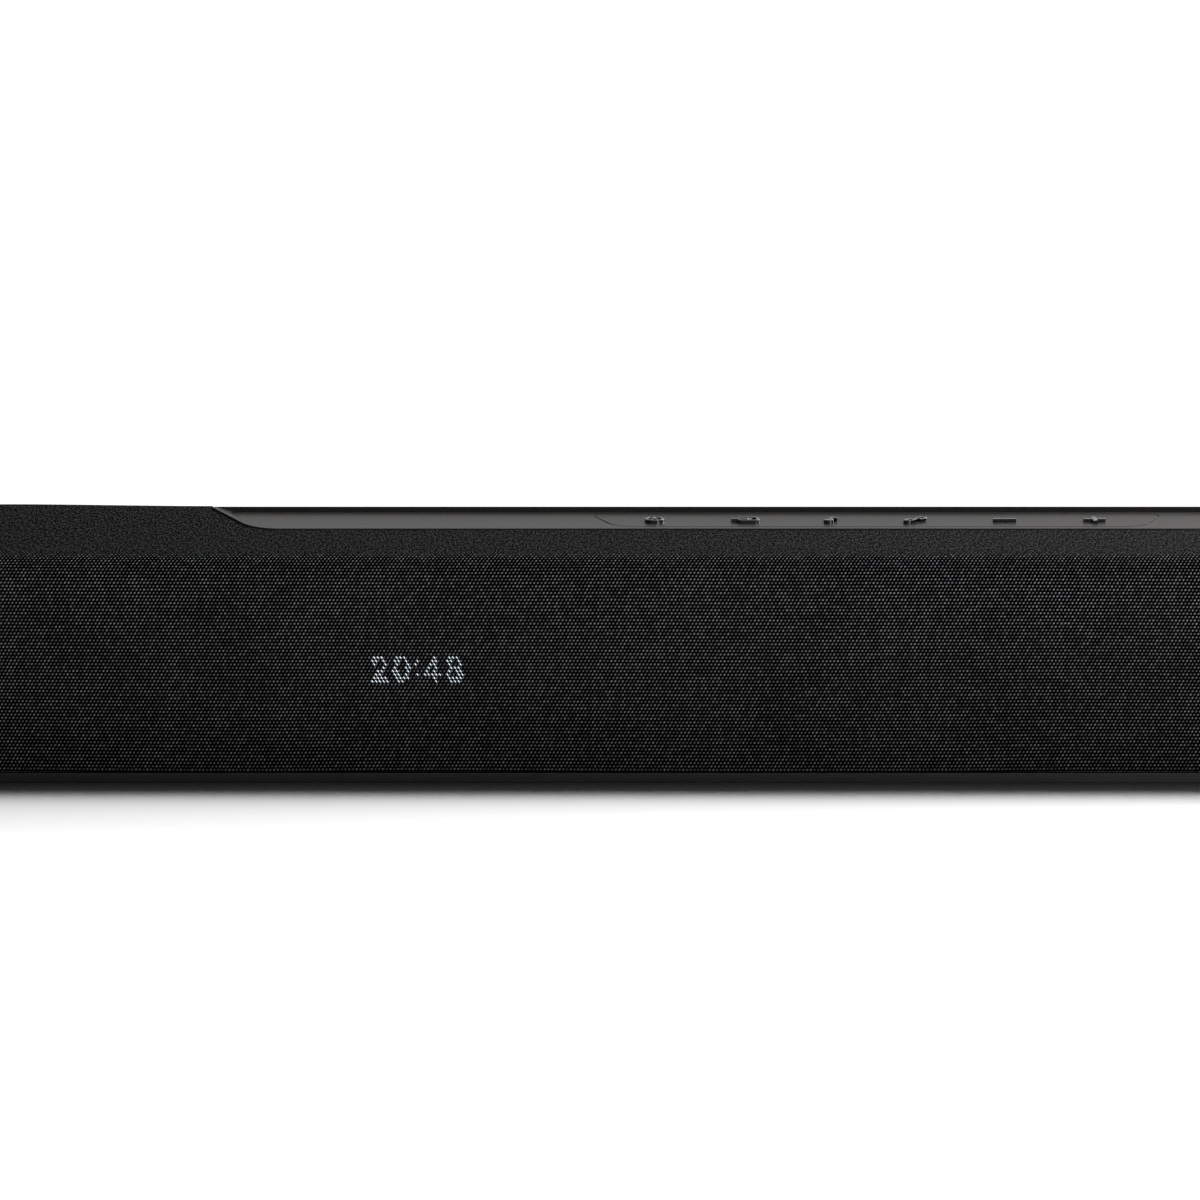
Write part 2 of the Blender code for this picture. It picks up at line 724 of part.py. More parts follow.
def recess_loops():
    """The tray's hollow at its floor, and again higher up, where its walls have spread outwards."""
    loops = []
    for spread, back_run in ((0, 0), (RECESS_RISE, RECESS_BACK_RUN)):
        front = on_floor(FLOOR_FRONT) - spread
        back = on_floor(FLOOR_BACK) + back_run
        half = [
            (TRAY_HALF_FRONT - TRAY_WALL_RUN + spread, front, TRAY_CORNER + spread),
            (TRAY_HALF_BACK - TRAY_WALL_RUN + spread, back, FLOOR_BACK_CORNER),
        ]
        loops.append(rounded(half + [(-x, y, radius) for x, y, radius in half[::-1]]))
    return loops


def make_tray(frame):
    tray = prism([tray_outline()], CREASE_HEIGHT, TOP_PANEL_TOP + 2 * PAST)
    as_part(tray, "control_tray", "panel_metal")
    reach = WIDTH / 2
    over = block((-reach, 0, 0), (reach, 2 * RIDGE_DEPTH, 4 * PAST), "above_facet")
    facet = frame_empty("facet_frame", (0, FRONT, CREASE_HEIGHT), FACET_SLOPE)
    cut(tray, on_frame(over, facet))
    cut(tray, block((-reach, FRONT, SHELF_HEIGHT), (reach, BACK, SHELF_HEIGHT + 4 * PAST), "above_shelf"))
    under = block((-reach, -RIDGE_DEPTH, -6 * PAST), (reach, RIDGE_DEPTH, -PANEL_THICKNESS), "below_floor")
    cut(tray, on_frame(under, frame))
    low_loop, high_loop = recess_loops()
    cut(tray, on_frame(loft(low_loop, 0, high_loop, RECESS_RISE, "recess"), frame))
    mouth = prism([strip_outline(STRIP_GAP)], -2 * PAST, PAST, "strip_mouth")
    cut(tray, on_frame(mouth, frame))
    post_top = -PANEL_THICKNESS + BOARD_POST_ROOT
    post_low = board_top() + GAP
    for x in (-1, 1):
        for y in (-1, 1):
            centre = (x * (KEY_BOARD_HALF - BOARD_POST_INSET), y * BOARD_POST_OFFSET)
            post = cylinder(BOARD_POST_RADIUS, post_low, post_top, centre, "board_post", SMALL_SEGMENTS)
            join(tray, on_frame(post, frame))


def key_flange_top():
    return -PANEL_THICKNESS - GAP


def key_foot():
    return key_flange_top() - KEY_FLANGE_THICKNESS - KEY_STEM_LENGTH


def dome_top():
    return key_foot() - KEY_TRAVEL - DOME_CLEARANCE


def pad_top():
    return dome_top() - DOME_HEIGHT


def board_top():
    return pad_top() - PAD_THICKNESS - GAP


def key_symbols():
    """Each key's plate outlines and raised outlines; loops inside a first loop are its holes."""
    line = KEY_LINE
    ring = 2.4 * MM
    power = [
        [circle(ring), circle(ring - line)],
        [rectangle(line, 2.4 * MM, 0, (0, 1.3 * MM))],
    ]
    screen = (5.4 * MM, 4.4 * MM)
    source = [
        [
            rectangle(*screen, 0.9 * MM, (0.6 * MM, 0)),
            rectangle(screen[0] - 2 * line, screen[1] - 2 * line, 0.3 * MM, (0.6 * MM, 0)),
        ],
        [rectangle(3.6 * MM, line, 0, (-1.5 * MM, 0))],
    ]
    note = [
        [circle(0.85 * MM, (-0.65 * MM, -1.6 * MM), 14)],
        [rectangle(0.6 * MM, 3.9 * MM, 0, (-0.1 * MM, 0.2 * MM))],
        [rectangle(1.7 * MM, 0.7 * MM, 0, (0.7 * MM, 1.8 * MM), math.radians(-20))],
    ]
    lean = math.radians(40)
    link = []
    for side in (-1, 1):
        centre = (side * 1.15 * MM * math.cos(lean), side * 1.15 * MM * math.sin(lean))
        outer = rectangle(3.1 * MM, 2.2 * MM, 1 * MM, centre, lean)
        inner = rectangle(3.1 * MM - 1.3 * MM, 0.9 * MM, 0.4 * MM, centre, lean)
        link.append([outer, inner])
    minus = [[rectangle(5.6 * MM, 1.1 * MM)]]
    plus = [[rectangle(5.3 * MM, 1.1 * MM)], [rectangle(1.1 * MM, 5.1 * MM)]]
    return {
        "power": ([lambda g: circle(2.5 * MM + g)], power),
        "source": ([lambda g: rectangle(7 * MM + 2 * g, 4.6 * MM + 2 * g, 1 * MM + g)], source),
        "music": ([lambda g: rectangle(3.3 * MM + 2 * g, 5.2 * MM + 2 * g, 0.9 * MM + g)], note),
        "link": ([lambda g: rectangle(5.7 * MM + 2 * g, 2.5 * MM + 2 * g, 1.1 * MM + g, turn=lean)], link),
        "volume_down": ([lambda g: rectangle(5.8 * MM + 2 * g, 1.4 * MM + 2 * g)], minus),
        "volume_up": (
            [
                lambda g: rectangle(5.5 * MM + 2 * g, 1.4 * MM + 2 * g),
                lambda g: rectangle(1.4 * MM + 2 * g, 5.3 * MM + 2 * g),
            ],
            plus,
        ),
    }


def make_strip(frame):
    strip = prism([strip_outline()], -PANEL_THICKNESS, 0)
    as_part(on_frame(strip, frame), "key_strip", "panel_metal")
    symbols = key_symbols()
    for name, x in KEY_CENTRES.items():
        for plate in symbols[name][0]:
            hole = prism([plate(KEY_GAP)], -PANEL_THICKNESS - PAST, PAST, f"key_hole_{name}")
            hole.location.x = x
            cut(strip, on_frame(hole, frame))


def make_keys(frame):
    symbols = key_symbols()
    for name, x in KEY_CENTRES.items():
        plates, raised = symbols[name]
        axis = frame_empty(f"key_axis_{name}", frame.location, PANEL_SLOPE)
        axis.location.x = x
        flange_low = key_flange_top() - KEY_FLANGE_THICKNESS
        key = cylinder(KEY_FLANGE_RADIUS, flange_low, key_flange_top())
        as_part(on_frame(key, axis), f"key_{name}", "key_gloss")
        for plate in plates:
            join(key, on_frame(prism([plate(0)], key_flange_top() - GAP, 0, "key_plate"), axis))
        for loops in raised:
            join(key, on_frame(prism(loops, -KEY_SYMBOL_ROOT, KEY_RISE, "key_symbol"), axis))
        stem = cylinder(KEY_STEM_RADIUS, key_foot(), flange_low + GAP, (0, 0), "stem", SMALL_SEGMENTS)
        join(key, on_frame(stem, axis))


def make_key_electronics(frame):
    half = (KEY_BOARD_HALF - PAD_MARGIN[0], KEY_BOARD_HALF_DEPTH - PAD_MARGIN[1])
    pad = block((-half[0], -half[1], pad_top() - PAD_THICKNESS), (half[0], half[1], pad_top()))
    as_part(on_frame(pad, frame), "key_pad", "silicone")
    for x in KEY_CENTRES.values():
        dome = cylinder(DOME_RADIUS, pad_top() - GAP, dome_top(), (x, 0), "dome", ROUND_SEGMENTS, DOME_TOP_RADIUS)
        join(pad, on_frame(dome, frame))
    board = block(
        (-KEY_BOARD_HALF, -KEY_BOARD_HALF_DEPTH, board_top() - BOARD_THICKNESS),
        (KEY_BOARD_HALF, KEY_BOARD_HALF_DEPTH, board_top()),
    )
    as_part(on_frame(board, frame), "key_board", "circuit_board")


# ---------------------------------------------------------------- display

def make_display():
    width, tall = DISPLAY_SIZE
    window = rectangle(width, tall, LENS_CORNER, (DISPLAY_X, DISPLAY_HEIGHT))
    lens = panel_cut([window], FRONT + FRAME_OUTER, FRONT + FRAME_OUTER + LENS_THICKNESS)
    as_part(lens, "display_window", "smoked_lens")
    matrix_front = FRONT + FRAME_INNER
    matrix_back = matrix_front + MATRIX_DEPTH
    half = (width / 2 - BITE, tall / 2 - BITE)
    matrix = block(
        (DISPLAY_X - half[0], matrix_front, DISPLAY_HEIGHT - half[1]),
        (DISPLAY_X + half[0], matrix_back, DISPLAY_HEIGHT + half[1]),
    )
    as_part(matrix, "led_matrix", "connector")
    board_front = matrix_back + GAP
    board_half = DISPLAY_BOARD_HALF
    board = block(
        (DISPLAY_X - board_half[0], board_front, DISPLAY_HEIGHT - board_half[1]),
        (RECEIVER_X + RECEIVER_MOUTH - BITE, board_front + BOARD_THICKNESS, DISPLAY_HEIGHT + board_half[1]),
    )
    as_part(board, "display_board", "circuit_board")
    half = RECEIVER_HALF
    receiver = block(
        (RECEIVER_X - half[0], board_front - RECEIVER_THICKNESS, DISPLAY_HEIGHT - half[1]),
        (RECEIVER_X + half[0], board_front - GAP, DISPLAY_HEIGHT + half[1]),
    )
    as_part(receiver, "infrared_receiver", "smoked_lens")
    eye = cylinder(EYE_RADIUS, -BITE, EYE_RISE, name="eye")
    eye.data.transform(Matrix.Translation((0, 0, (EYE_RISE - BITE) / 2)))
    eye.rotation_euler.x = math.radians(90)
    eye.location = (RECEIVER_X, board_front - RECEIVER_THICKNESS, DISPLAY_HEIGHT)
    join(receiver, eye)


# ---------------------------------------------------------------- drivers

def driver_frame(x):
    """Faces +Z forwards, out of the grille, from the front of the mounting flange."""
    flange_front = FRONT + BAFFLE_FRONT - GAP - DRIVER_FLANGE
    return frame_empty(f"driver_axis_{round(x / MM)}", (x, flange_front, DRIVER_HEIGHT), math.radians(90))


def profile_mm(points):
    return [(radius * MM, height * MM) for radius, height in points]


def surround_section():
    """A half-roll of rubber between the basket and the cone."""
    sides = []
    for radius in (SURROUND_RADIUS, SURROUND_RADIUS - SURROUND_THICKNESS):
        turns = [math.pi * number / SURROUND_STEPS for number in range(SURROUND_STEPS + 1)]
        sides.append([
            (SURROUND_CENTRE[0] - radius * math.cos(turn), SURROUND_CENTRE[1] + radius * math.sin(turn))
            for turn in turns
        ])
    return sides[0] + sides[1][::-1]


def make_woofer(side, axis):
    basket = turned(profile_mm(BASKET_SECTION), closed=True)
    as_part(on_frame(basket, axis), f"woofer_basket_{side}", "stamped_steel")
    surround = turned(profile_mm(surround_section()), closed=True)
    as_part(on_frame(surround, axis), f"woofer_surround_{side}", "rubber")
    cone = turned(profile_mm(CONE_SECTION), closed=False)
    as_part(on_frame(cone, axis), f"woofer_cone_{side}", "paper_cone")
    magnet = turned(profile_mm(MAGNET_SECTION), closed=False)
    as_part(on_frame(magnet, axis), f"woofer_magnet_{side}", "magnet")


def make_tweeter(side, axis):
    housing = turned(profile_mm(HOUSING_SECTION), closed=False)
    as_part(on_frame(housing, axis), f"tweeter_housing_{side}", "stamped_steel")
    dome = turned(profile_mm(DOME_SECTION), closed=False)
    as_part(on_frame(dome, axis), f"tweeter_dome_{side}", "soft_dome")


def make_drivers():
    front = FRONT + BAFFLE_FRONT
    back = front + BAFFLE_THICKNESS
    baffle = block((-HALF_BODY + BITE, front, FLOOR_TOP + GAP), (HALF_BODY - BITE, back, BAFFLE_TOP))
    as_part(baffle, "front_baffle", "inner_plastic")
    for (x, y) in (place_xy for name, place_xy in screw_places().items() if name.startswith("front")):
        post, web, hole = boss(x, y, back - BITE)
        join(baffle, post, web)
        cut(baffle, hole)
    for side, x in WOOFERS.items():
        cut(baffle, panel_cut([circle(WOOFER_HOLE, (x, DRIVER_HEIGHT))], front - PAST, back + PAST, "woofer_hole"))
        make_woofer(side, driver_frame(x))
    for side, x in TWEETERS.items():
        cut(baffle, panel_cut([circle(TWEETER_HOLE, (x, DRIVER_HEIGHT))], front - PAST, back + PAST, "tweeter_hole"))
        make_tweeter(side, driver_frame(x))


# ---------------------------------------------------------------- rear connections

def make_bay():
    back = BACK - REAR_PANEL_THICKNESS - GAP
    floor = BACK - BAY_DEPTH
    bay = block(
        (BAY_X[0] - BAY_WALL, floor - BAY_WALL, BAY_HEIGHT[0] - BAY_WALL),
        (BAY_X[1] + BAY_WALL, back, BAY_HEIGHT[1] + BAY_WALL),
    )
    as_part(bay, "connector_bay", "case_plastic")
    cut(bay, block((BAY_X[0], floor, BAY_HEIGHT[0]), (BAY_X[1], BACK + PAST, BAY_HEIGHT[1]), "bay_hollow"))
    for name, x, outline, hollow_loops in sockets():
        mouth = panel_cut([outline(GAP)], floor - 2 * PAST, floor + PAST, f"{name}_mouth")
        body = panel_cut([outline(0)], floor - SOCKET_LENGTH, floor + SOCKET_PROUD)
        hollow = panel_cut(hollow_loops, floor - SOCKET_HOLLOW, floor + PAST, f"{name}_hollow")
        for solid in (mouth, body, hollow):
            solid.location.x = x
        as_part(body, name, "connector")
        cut(bay, mouth)
        cut(body, hollow)


def sockets():
    """Each socket's name, place along the bar, outline by growth, and the outlines of its hollow."""
    middle = (BAY_X[0] + BAY_X[1]) / 2
    centre = (0, SOCKET_HEIGHT)

    def slot(width, height):
        return lambda grow: rectangle(width + 2 * grow, height + 2 * grow, 0, centre)

    return [
        (
            "video_socket", middle - 48 * MM, slot(15.8 * MM, 6 * MM),
            [rectangle(14.4 * MM, 4.6 * MM, 0, centre), rectangle(11 * MM, 1.4 * MM, 0, centre)],
        ),
        (
            "service_socket", middle - 16 * MM, slot(14 * MM, 7 * MM),
            [rectangle(12.6 * MM, 5.4 * MM, 0, centre), rectangle(11 * MM, 1.8 * MM, 0, centre)],
        ),
        ("optical_socket", middle + 16 * MM, slot(10 * MM, 10 * MM), [circle(1.9 * MM, centre)]),
        (
            "aux_socket", middle + 46 * MM, lambda grow: circle(4 * MM + grow, centre),
            [circle(1.8 * MM, centre)],
        ),
    ]


def make_inlet():
    centre = (INLET_X, INLET_HEIGHT)
    outline = rectangle(*INLET_SIZE, INLET_CORNER, centre)
    body = panel_cut([outline], BACK - INLET_LENGTH, BACK - INLET_SET_BACK)
    as_part(body, "power_inlet", "connector")
    pins = [circle(PIN_RADIUS, (INLET_X + side * PIN_OFFSET, INLET_HEIGHT), SMALL_SEGMENTS) for side in (-1, 1)]
    mouth = rectangle(*INLET_MOUTH, centre)
    cut(body, panel_cut([mouth] + pins, BACK - INLET_HOLLOW, BACK + PAST, "inlet_hollow"))


# ---------------------------------------------------------------- electronics

def board_block(x_range, y_range, low, high):
    return block((x_range[0], y_range[0], low), (x_range[1], y_range[1], high))


def sink_section():
    """A finned extrusion: a foot with a row of upright fins."""
    section = [(0, 0)]
    for number in range(FIN_COUNT):
        start = number * FIN_PITCH
        section.extend([(start, SINK_HEIGHT), (start + FIN_THICKNESS, SINK_HEIGHT)])
        if number < FIN_COUNT - 1:
            section.extend([(start + FIN_THICKNESS, SINK_FOOT), (start + FIN_PITCH, SINK_FOOT)])
    section.append(((FIN_COUNT - 1) * FIN_PITCH + FIN_THICKNESS, 0))
    return section[::-1]


def make_boards():
    high = BOARD_LOW + MAIN_BOARD_THICKNESS
    as_part(board_block(MAIN_BOARD_X, BOARD_Y, BOARD_LOW, high), "main_board", "circuit_board")
    as_part(board_block(POWER_BOARD_X, BOARD_Y, BOARD_LOW, high), "power_board", "circuit_board")
    sink = prism([sink_section()], -SINK_HALF_LENGTH, SINK_HALF_LENGTH)
    sink.rotation_euler = (math.radians(90), 0, math.radians(90))
    sink.location = (*SINK_CENTRE, high + GAP)
    as_part(sink, "heat_sink", "aluminium")
    wireless = board_block(WIRELESS_X, WIRELESS_Y, high + GAP, high + WIRELESS_HEIGHT)
    as_part(wireless, "wireless_module", "stamped_steel")
    transformer = board_block(TRANSFORMER_X, TRANSFORMER_Y, high + GAP, high + TRANSFORMER_HEIGHT)
    as_part(transformer, "transformer", "magnet")
    for number, x in enumerate(CAPACITOR_XS):
        can = cylinder(CAPACITOR_RADIUS, high + GAP, high + CAPACITOR_HEIGHT, (x, CAPACITOR_Y))
        as_part(can, f"capacitor_{number + 1}", "connector")


# ---------------------------------------------------------------- build

empty_scene()
PARTS = new_collection("soundbar")
CUTTERS = new_collection("cutters")

make_base()
make_feet()
make_screws()
make_rear_panel()
make_top_panel()
make_end_caps()
make_fabric()
make_grille_frames()

floor_height = FLOOR_FRONT_HEIGHT + (KEY_ROW_DEPTH - FLOOR_FRONT) * math.tan(PANEL_SLOPE)
PANEL_FRAME = frame_empty("panel_frame", (0, FRONT + KEY_ROW_DEPTH, floor_height), PANEL_SLOPE)
make_tray(PANEL_FRAME)
make_strip(PANEL_FRAME)
make_keys(PANEL_FRAME)
make_key_electronics(PANEL_FRAME)

make_display()
make_drivers()
make_bay()
make_inlet()
make_boards()
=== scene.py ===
"""The looks of a soundbar: cloth grille, key panel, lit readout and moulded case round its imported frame.

Metres, in the part's own frame: the grille faces -Y, +X is the viewer's right, and the floor is at Z = 0.
Depths are measured back from the grille's face.
"""

import json
import math

import bmesh
import bpy
from mathutils import Matrix, Vector


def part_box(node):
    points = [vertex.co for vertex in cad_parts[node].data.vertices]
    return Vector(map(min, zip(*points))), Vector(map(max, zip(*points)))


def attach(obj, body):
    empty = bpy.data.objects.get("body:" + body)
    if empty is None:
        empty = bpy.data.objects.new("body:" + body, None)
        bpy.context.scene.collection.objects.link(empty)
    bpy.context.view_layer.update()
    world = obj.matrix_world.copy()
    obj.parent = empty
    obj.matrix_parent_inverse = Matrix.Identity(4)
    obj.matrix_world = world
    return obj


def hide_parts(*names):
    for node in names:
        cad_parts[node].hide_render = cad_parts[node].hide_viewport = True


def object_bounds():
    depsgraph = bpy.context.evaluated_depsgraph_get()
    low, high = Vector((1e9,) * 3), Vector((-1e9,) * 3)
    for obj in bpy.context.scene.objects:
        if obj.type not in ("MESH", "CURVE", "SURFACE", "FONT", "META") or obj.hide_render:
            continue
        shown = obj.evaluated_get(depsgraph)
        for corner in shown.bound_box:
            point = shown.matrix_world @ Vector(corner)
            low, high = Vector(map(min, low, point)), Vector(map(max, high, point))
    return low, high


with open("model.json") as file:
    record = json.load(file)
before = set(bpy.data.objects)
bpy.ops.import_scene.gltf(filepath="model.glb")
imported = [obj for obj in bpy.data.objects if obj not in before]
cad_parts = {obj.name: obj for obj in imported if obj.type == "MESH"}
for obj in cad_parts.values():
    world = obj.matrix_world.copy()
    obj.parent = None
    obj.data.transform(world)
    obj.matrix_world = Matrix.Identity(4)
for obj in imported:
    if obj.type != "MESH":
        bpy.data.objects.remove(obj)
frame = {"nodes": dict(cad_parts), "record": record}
CAD_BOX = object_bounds()

MM = 0.001
CASE = "case"

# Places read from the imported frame
CLOTH_LOW, CLOTH_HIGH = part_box("grille_fabric")
_, TRAY_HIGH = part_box("control_tray")
CAP_LOW, CAP_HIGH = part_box("end_cap_left")
_, TOP_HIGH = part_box("top_panel")
BASE_LOW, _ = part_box("base_chassis")
FRONT = CLOTH_LOW.y
DEPTH = TOP_HIGH.y - FRONT

# The camera: level with the bar's top and left of its middle, tilted a little down (degrees)
CAMERA_SIDE = -67.2 * MM
CAMERA_DISTANCE = 900 * MM
CAMERA_HEIGHT = 69 * MM
CAMERA_TILT = 1.628
CAMERA_LENS = 116.1
CAMERA_SENSOR = 36

# The paper on the floor glows from the first distance off the bar to the second, in full past that
PAPER_SIZE = 60
PAPER_WHITE = 0.86
GLOW_START = 0.1
GLOW_FULL = 0.38

# The world's strength: as the camera sees it, and as a light from the front and from the rear
WORLD_SEEN = 1.1
WORLD_FRONT = 0.008
WORLD_REAR = 0.32
WORLD_TURN = (-0.1, 0.6)

# The grille's section, by depth and by height above the floor
FACET_SLOPE = math.radians(13.9)
CREASE_HEIGHT = 53.3 * MM
CREASE_RADIUS = 7 * MM
RIDGE_DEPTH = CLOTH_HIGH.y - FRONT
RIDGE_RADIUS = 3.4 * MM
RIDGE_END = 60.8 * MM
RIDGE_DIP = 0.45 * MM
RIDGE_DIP_REACH = 50 * MM
CLOTH_THICKNESS = 0.6 * MM
CLOTH_COLUMNS = 174
CLOTH_STEP = 5 * MM
HEM_RADIUS = 0.4 * MM
HEM_GAP = 0.15 * MM
HEM_SINK = 0.9
HEM_STEP = 3 * MM
HEM_END = 52.6 * MM

# The woven lattice: a knot's half width and half height are shares of a column and a row
WEAVE_PITCH = 0.874 * MM
WEAVE_ROW = 0.79 * MM
WEAVE_WANDER = 1.2 * MM
KNOT_LEAN = -0.35
KNOT_WIDE = 0.3
KNOT_TALL = 0.36
KNOT_EDGE = 1.05
KNOT_CORE = 0.25
FIBRE_STRETCH = (2500, 760, 1)
# The colour of the knots' painted highlights and of the top's painted sheen; the holes between knots are near black
CLOTH_HIGHLIGHT_COLOUR = (0.264, 0.27, 0.278)
CLOTH_HOLE = (0.0004, 0.0004, 0.0004)

# The key panel's plane
PANEL_SLOPE = math.radians(10.2)
PANEL_DEPTH = 27.3 * MM
PANEL_HEIGHT = 60 * MM
PANEL_THICKNESS = 2.2 * MM

# The tray: its outline, the lip at its back and the floor that the strip lies in
TRAY_FRONT = 26.2 * MM
TRAY_BACK = 46.5 * MM
TRAY_HALF_FRONT = 150.1 * MM
TRAY_HALF_BACK = TRAY_HIGH.x
TRAY_CORNER = 11 * MM
TRAY_BACK_CORNER = 0.3 * MM
TRAY_PIECES = 12
TRAY_EDGE = 0.07 * MM
RIM_LAND = 0.08 * MM
# The rim's lighter grey is a painted highlight
RIM_HIGHLIGHT = 0.05
FLOOR_FRONT = 26.45 * MM
FLOOR_BACK = 47.6 * MM
FLOOR_HALF_FRONT = 149.9 * MM
FLOOR_HALF_BACK = 157.9 * MM
FLOOR_FRONT_CORNER = TRAY_CORNER - 0.3 * MM
FLOOR_BACK_CORNER = 1.6 * MM
LIP_DEPTH = 47.85 * MM
LIP_CORNER = 0.9 * MM
LIP_RISE = 1.2 * MM
SHELF_HEIGHT = 64.9 * MM

# The strip in the tray's floor
STRIP_FRONT = 28.8 * MM
STRIP_BACK = 44.7 * MM
STRIP_HALF_FRONT = 63.3 * MM
STRIP_HALF_BACK = 69.5 * MM
STRIP_FRONT_CORNER = 7 * MM
STRIP_BACK_CORNER = 2 * MM
STRIP_GAP = 0.45 * MM
STRIP_EDGE = 0.02 * MM

# The keys, which stand in a row in the strip
KEY_ROW_DEPTH = 35 * MM
KEY_CENTRES = {
    "power": -54 * MM,
    "source": -32.1 * MM,
    "music": -11.4 * MM,
    "link": 8.95 * MM,
    "volume_down": 30.5 * MM,
    "volume_up": 52.2 * MM,
}
KEY_RISE = 0.76 * MM
KEY_ROOT = -0.3 * MM
KEY_LINE = 0.75 * MM
KEY_GAP = 0.07 * MM
PLATE_EDGE = 0.04 * MM
SYMBOL_EDGE = 0.07 * MM
LINK_LEAN = math.radians(40)
LINK_LINE = 0.6 * MM

# The readout behind the cloth: the digits, and the lit hole between two knots
READOUT = "20:48"
READOUT_LEFT = -120.6 * MM
READOUT_LOW = 24.2 * MM
READOUT_TALL = 6.5 * MM
READOUT_WIDE = 26 * MM
DIGIT_WIDE = 4.1 * MM
DIGIT_SPACE = 1.05 * MM
COLON_WIDE = 1 * MM
COLON_LEVELS = (0.28, 0.72)
STROKE_HALF = 0.57 * MM
STROKE_STEP = 0.15 * MM
DASH_LENGTH = 0.72 * MM
DASH_WIDTH = 0.24 * MM
DASH_LEAN = math.radians(-36)
DASH_FRONT = FRONT - 0.04 * MM
DASH_REAR = FRONT + 0.1 * MM
DASH_SIDES = 8

# The end caps
CAP_RIDGE = RIDGE_DEPTH - 3.7 * MM
CAP_CORNER = 1.2 * MM
CAP_PIECES = 12
CAP_ROUND = 2.2 * MM
CAP_ROUND_TURNS = range(0, 91, 15)
CAP_INNER_EDGE = 0.25 * MM

# The rounds on the covers' edges
COVER_EDGES = {
    "base_chassis": 0.35 * MM,
    "top_panel": 0.5 * MM,
    "rear_panel": 0.35 * MM,
    "connector_bay": 0.3 * MM,
}

# Points of a curve's mesh that are nearer than this are the same point
WELD = 1e-6
# A flat face meets the first facet of its round at 15 degrees, which stays a crease
ROUND_CREASE = 12
# The Z of a normal above which a face counts as level, and above which a symbol's face takes the bright top rather
# than the painted shade of its sides
LEVEL = 0.99
BRIGHT_TOP = 0.9

# Moulded plastics: name, the record's slot, colour and roughness
MOULDED = (
    ("case_plastic", "case", (0.0105, 0.0103, 0.0103), 0.34),
    ("inner_plastic", "inner_plastic", (0.02, 0.02, 0.02), 0.55),
    ("socket_plastic", "socket", (0.012, 0.012, 0.012), 0.42),
)
# Other materials: name, the record's slots, two close colours, fineness of grain, roughness and metallic
SPECKLED = (
    ("foot_rubber", ("foot", "surround"), (0.012, 0.012, 0.012), (0.02, 0.02, 0.02), 700.0, 0.75, 0.0),
    ("board_mask", ("board",), (0.008, 0.06, 0.03), (0.012, 0.085, 0.045), 220.0, 0.4, 0.0),
    ("plated_steel", ("pressed_steel",), (0.42, 0.42, 0.41), (0.52, 0.52, 0.5), 900.0, 0.38, 1.0),
    ("ferrite", ("magnet",), (0.03, 0.03, 0.033), (0.05, 0.05, 0.055), 1500.0, 0.6, 0.2),
    ("pressed_pulp", ("cone",), (0.02, 0.02, 0.02), (0.035, 0.034, 0.033), 800.0, 0.85, 0.0),
    ("doped_silk", ("dome",), (0.07, 0.06, 0.04), (0.1, 0.085, 0.06), 1800.0, 0.45, 0.0),
    ("silicone", ("silicone",), (0.22, 0.22, 0.23), (0.27, 0.27, 0.28), 500.0, 0.55, 0.0),
    ("extruded_alloy", ("heat_sink",), (0.5, 0.5, 0.51), (0.6, 0.6, 0.61), 600.0, 0.4, 1.0),
    ("smoked_lens", ("lens",), (0.01, 0.01, 0.012), (0.014, 0.014, 0.016), 90.0, 0.08, 0.0),
    ("black_screw", ("screw",), (0.03, 0.03, 0.032), (0.05, 0.05, 0.05), 900.0, 0.35, 0.9),
    ("lamp_block", ("lamp_block",), (0.6, 0.64, 0.68), (0.7, 0.72, 0.75), 300.0, 0.3, 0.0),
    ("can_sleeve", ("capacitor",), (0.01, 0.012, 0.03), (0.014, 0.017, 0.04), 300.0, 0.3, 0.0),
)


def add(name, data):
    """A new object in the scene."""
    item = bpy.data.objects.new(name, data)
    bpy.context.scene.collection.objects.link(item)
    return item


# ---------------------------------------------------------------- camera, floor and light

def make_camera():
    data = bpy.data.cameras.new("camera")
    camera = add("camera", data)
    data.sensor_width = CAMERA_SENSOR
    data.lens = CAMERA_LENS
    data.clip_start = 10 * MM
    data.clip_end = 100
    camera.location = (CAMERA_SIDE, FRONT - CAMERA_DISTANCE, CAMERA_HEIGHT)
    camera.rotation_euler = (math.radians(90 - CAMERA_TILT), 0, 0)
    bpy.context.scene.camera = camera


def make_floor():
    """White paper, lit by the lamps near the bar and glowing further off, where they don't reach."""
    bpy.ops.mesh.primitive_plane_add(size=PAPER_SIZE)
    floor = bpy.context.object
    floor.name = "floor"
    m = Nodes("floor_paper", 0.9, colour=(PAPER_WHITE,) * 3)
    m.set("Specular IOR Level", 0.1)
    m.set("Emission Color", (1, 1, 1, 1))
    past = m.vector("SUBTRACT", m.vector("ABSOLUTE", m.place()), (CAD_BOX[1][0], 0, 0))
    reach = m.vector("LENGTH", m.vector("MAXIMUM", past, (0, 0, 0)), output="Value")
    m.feed("Emission Strength", m.ramp(reach, GLOW_START, GLOW_FULL, 0.0, 1.0, smooth=True))
    floor.data.materials.append(m.material)


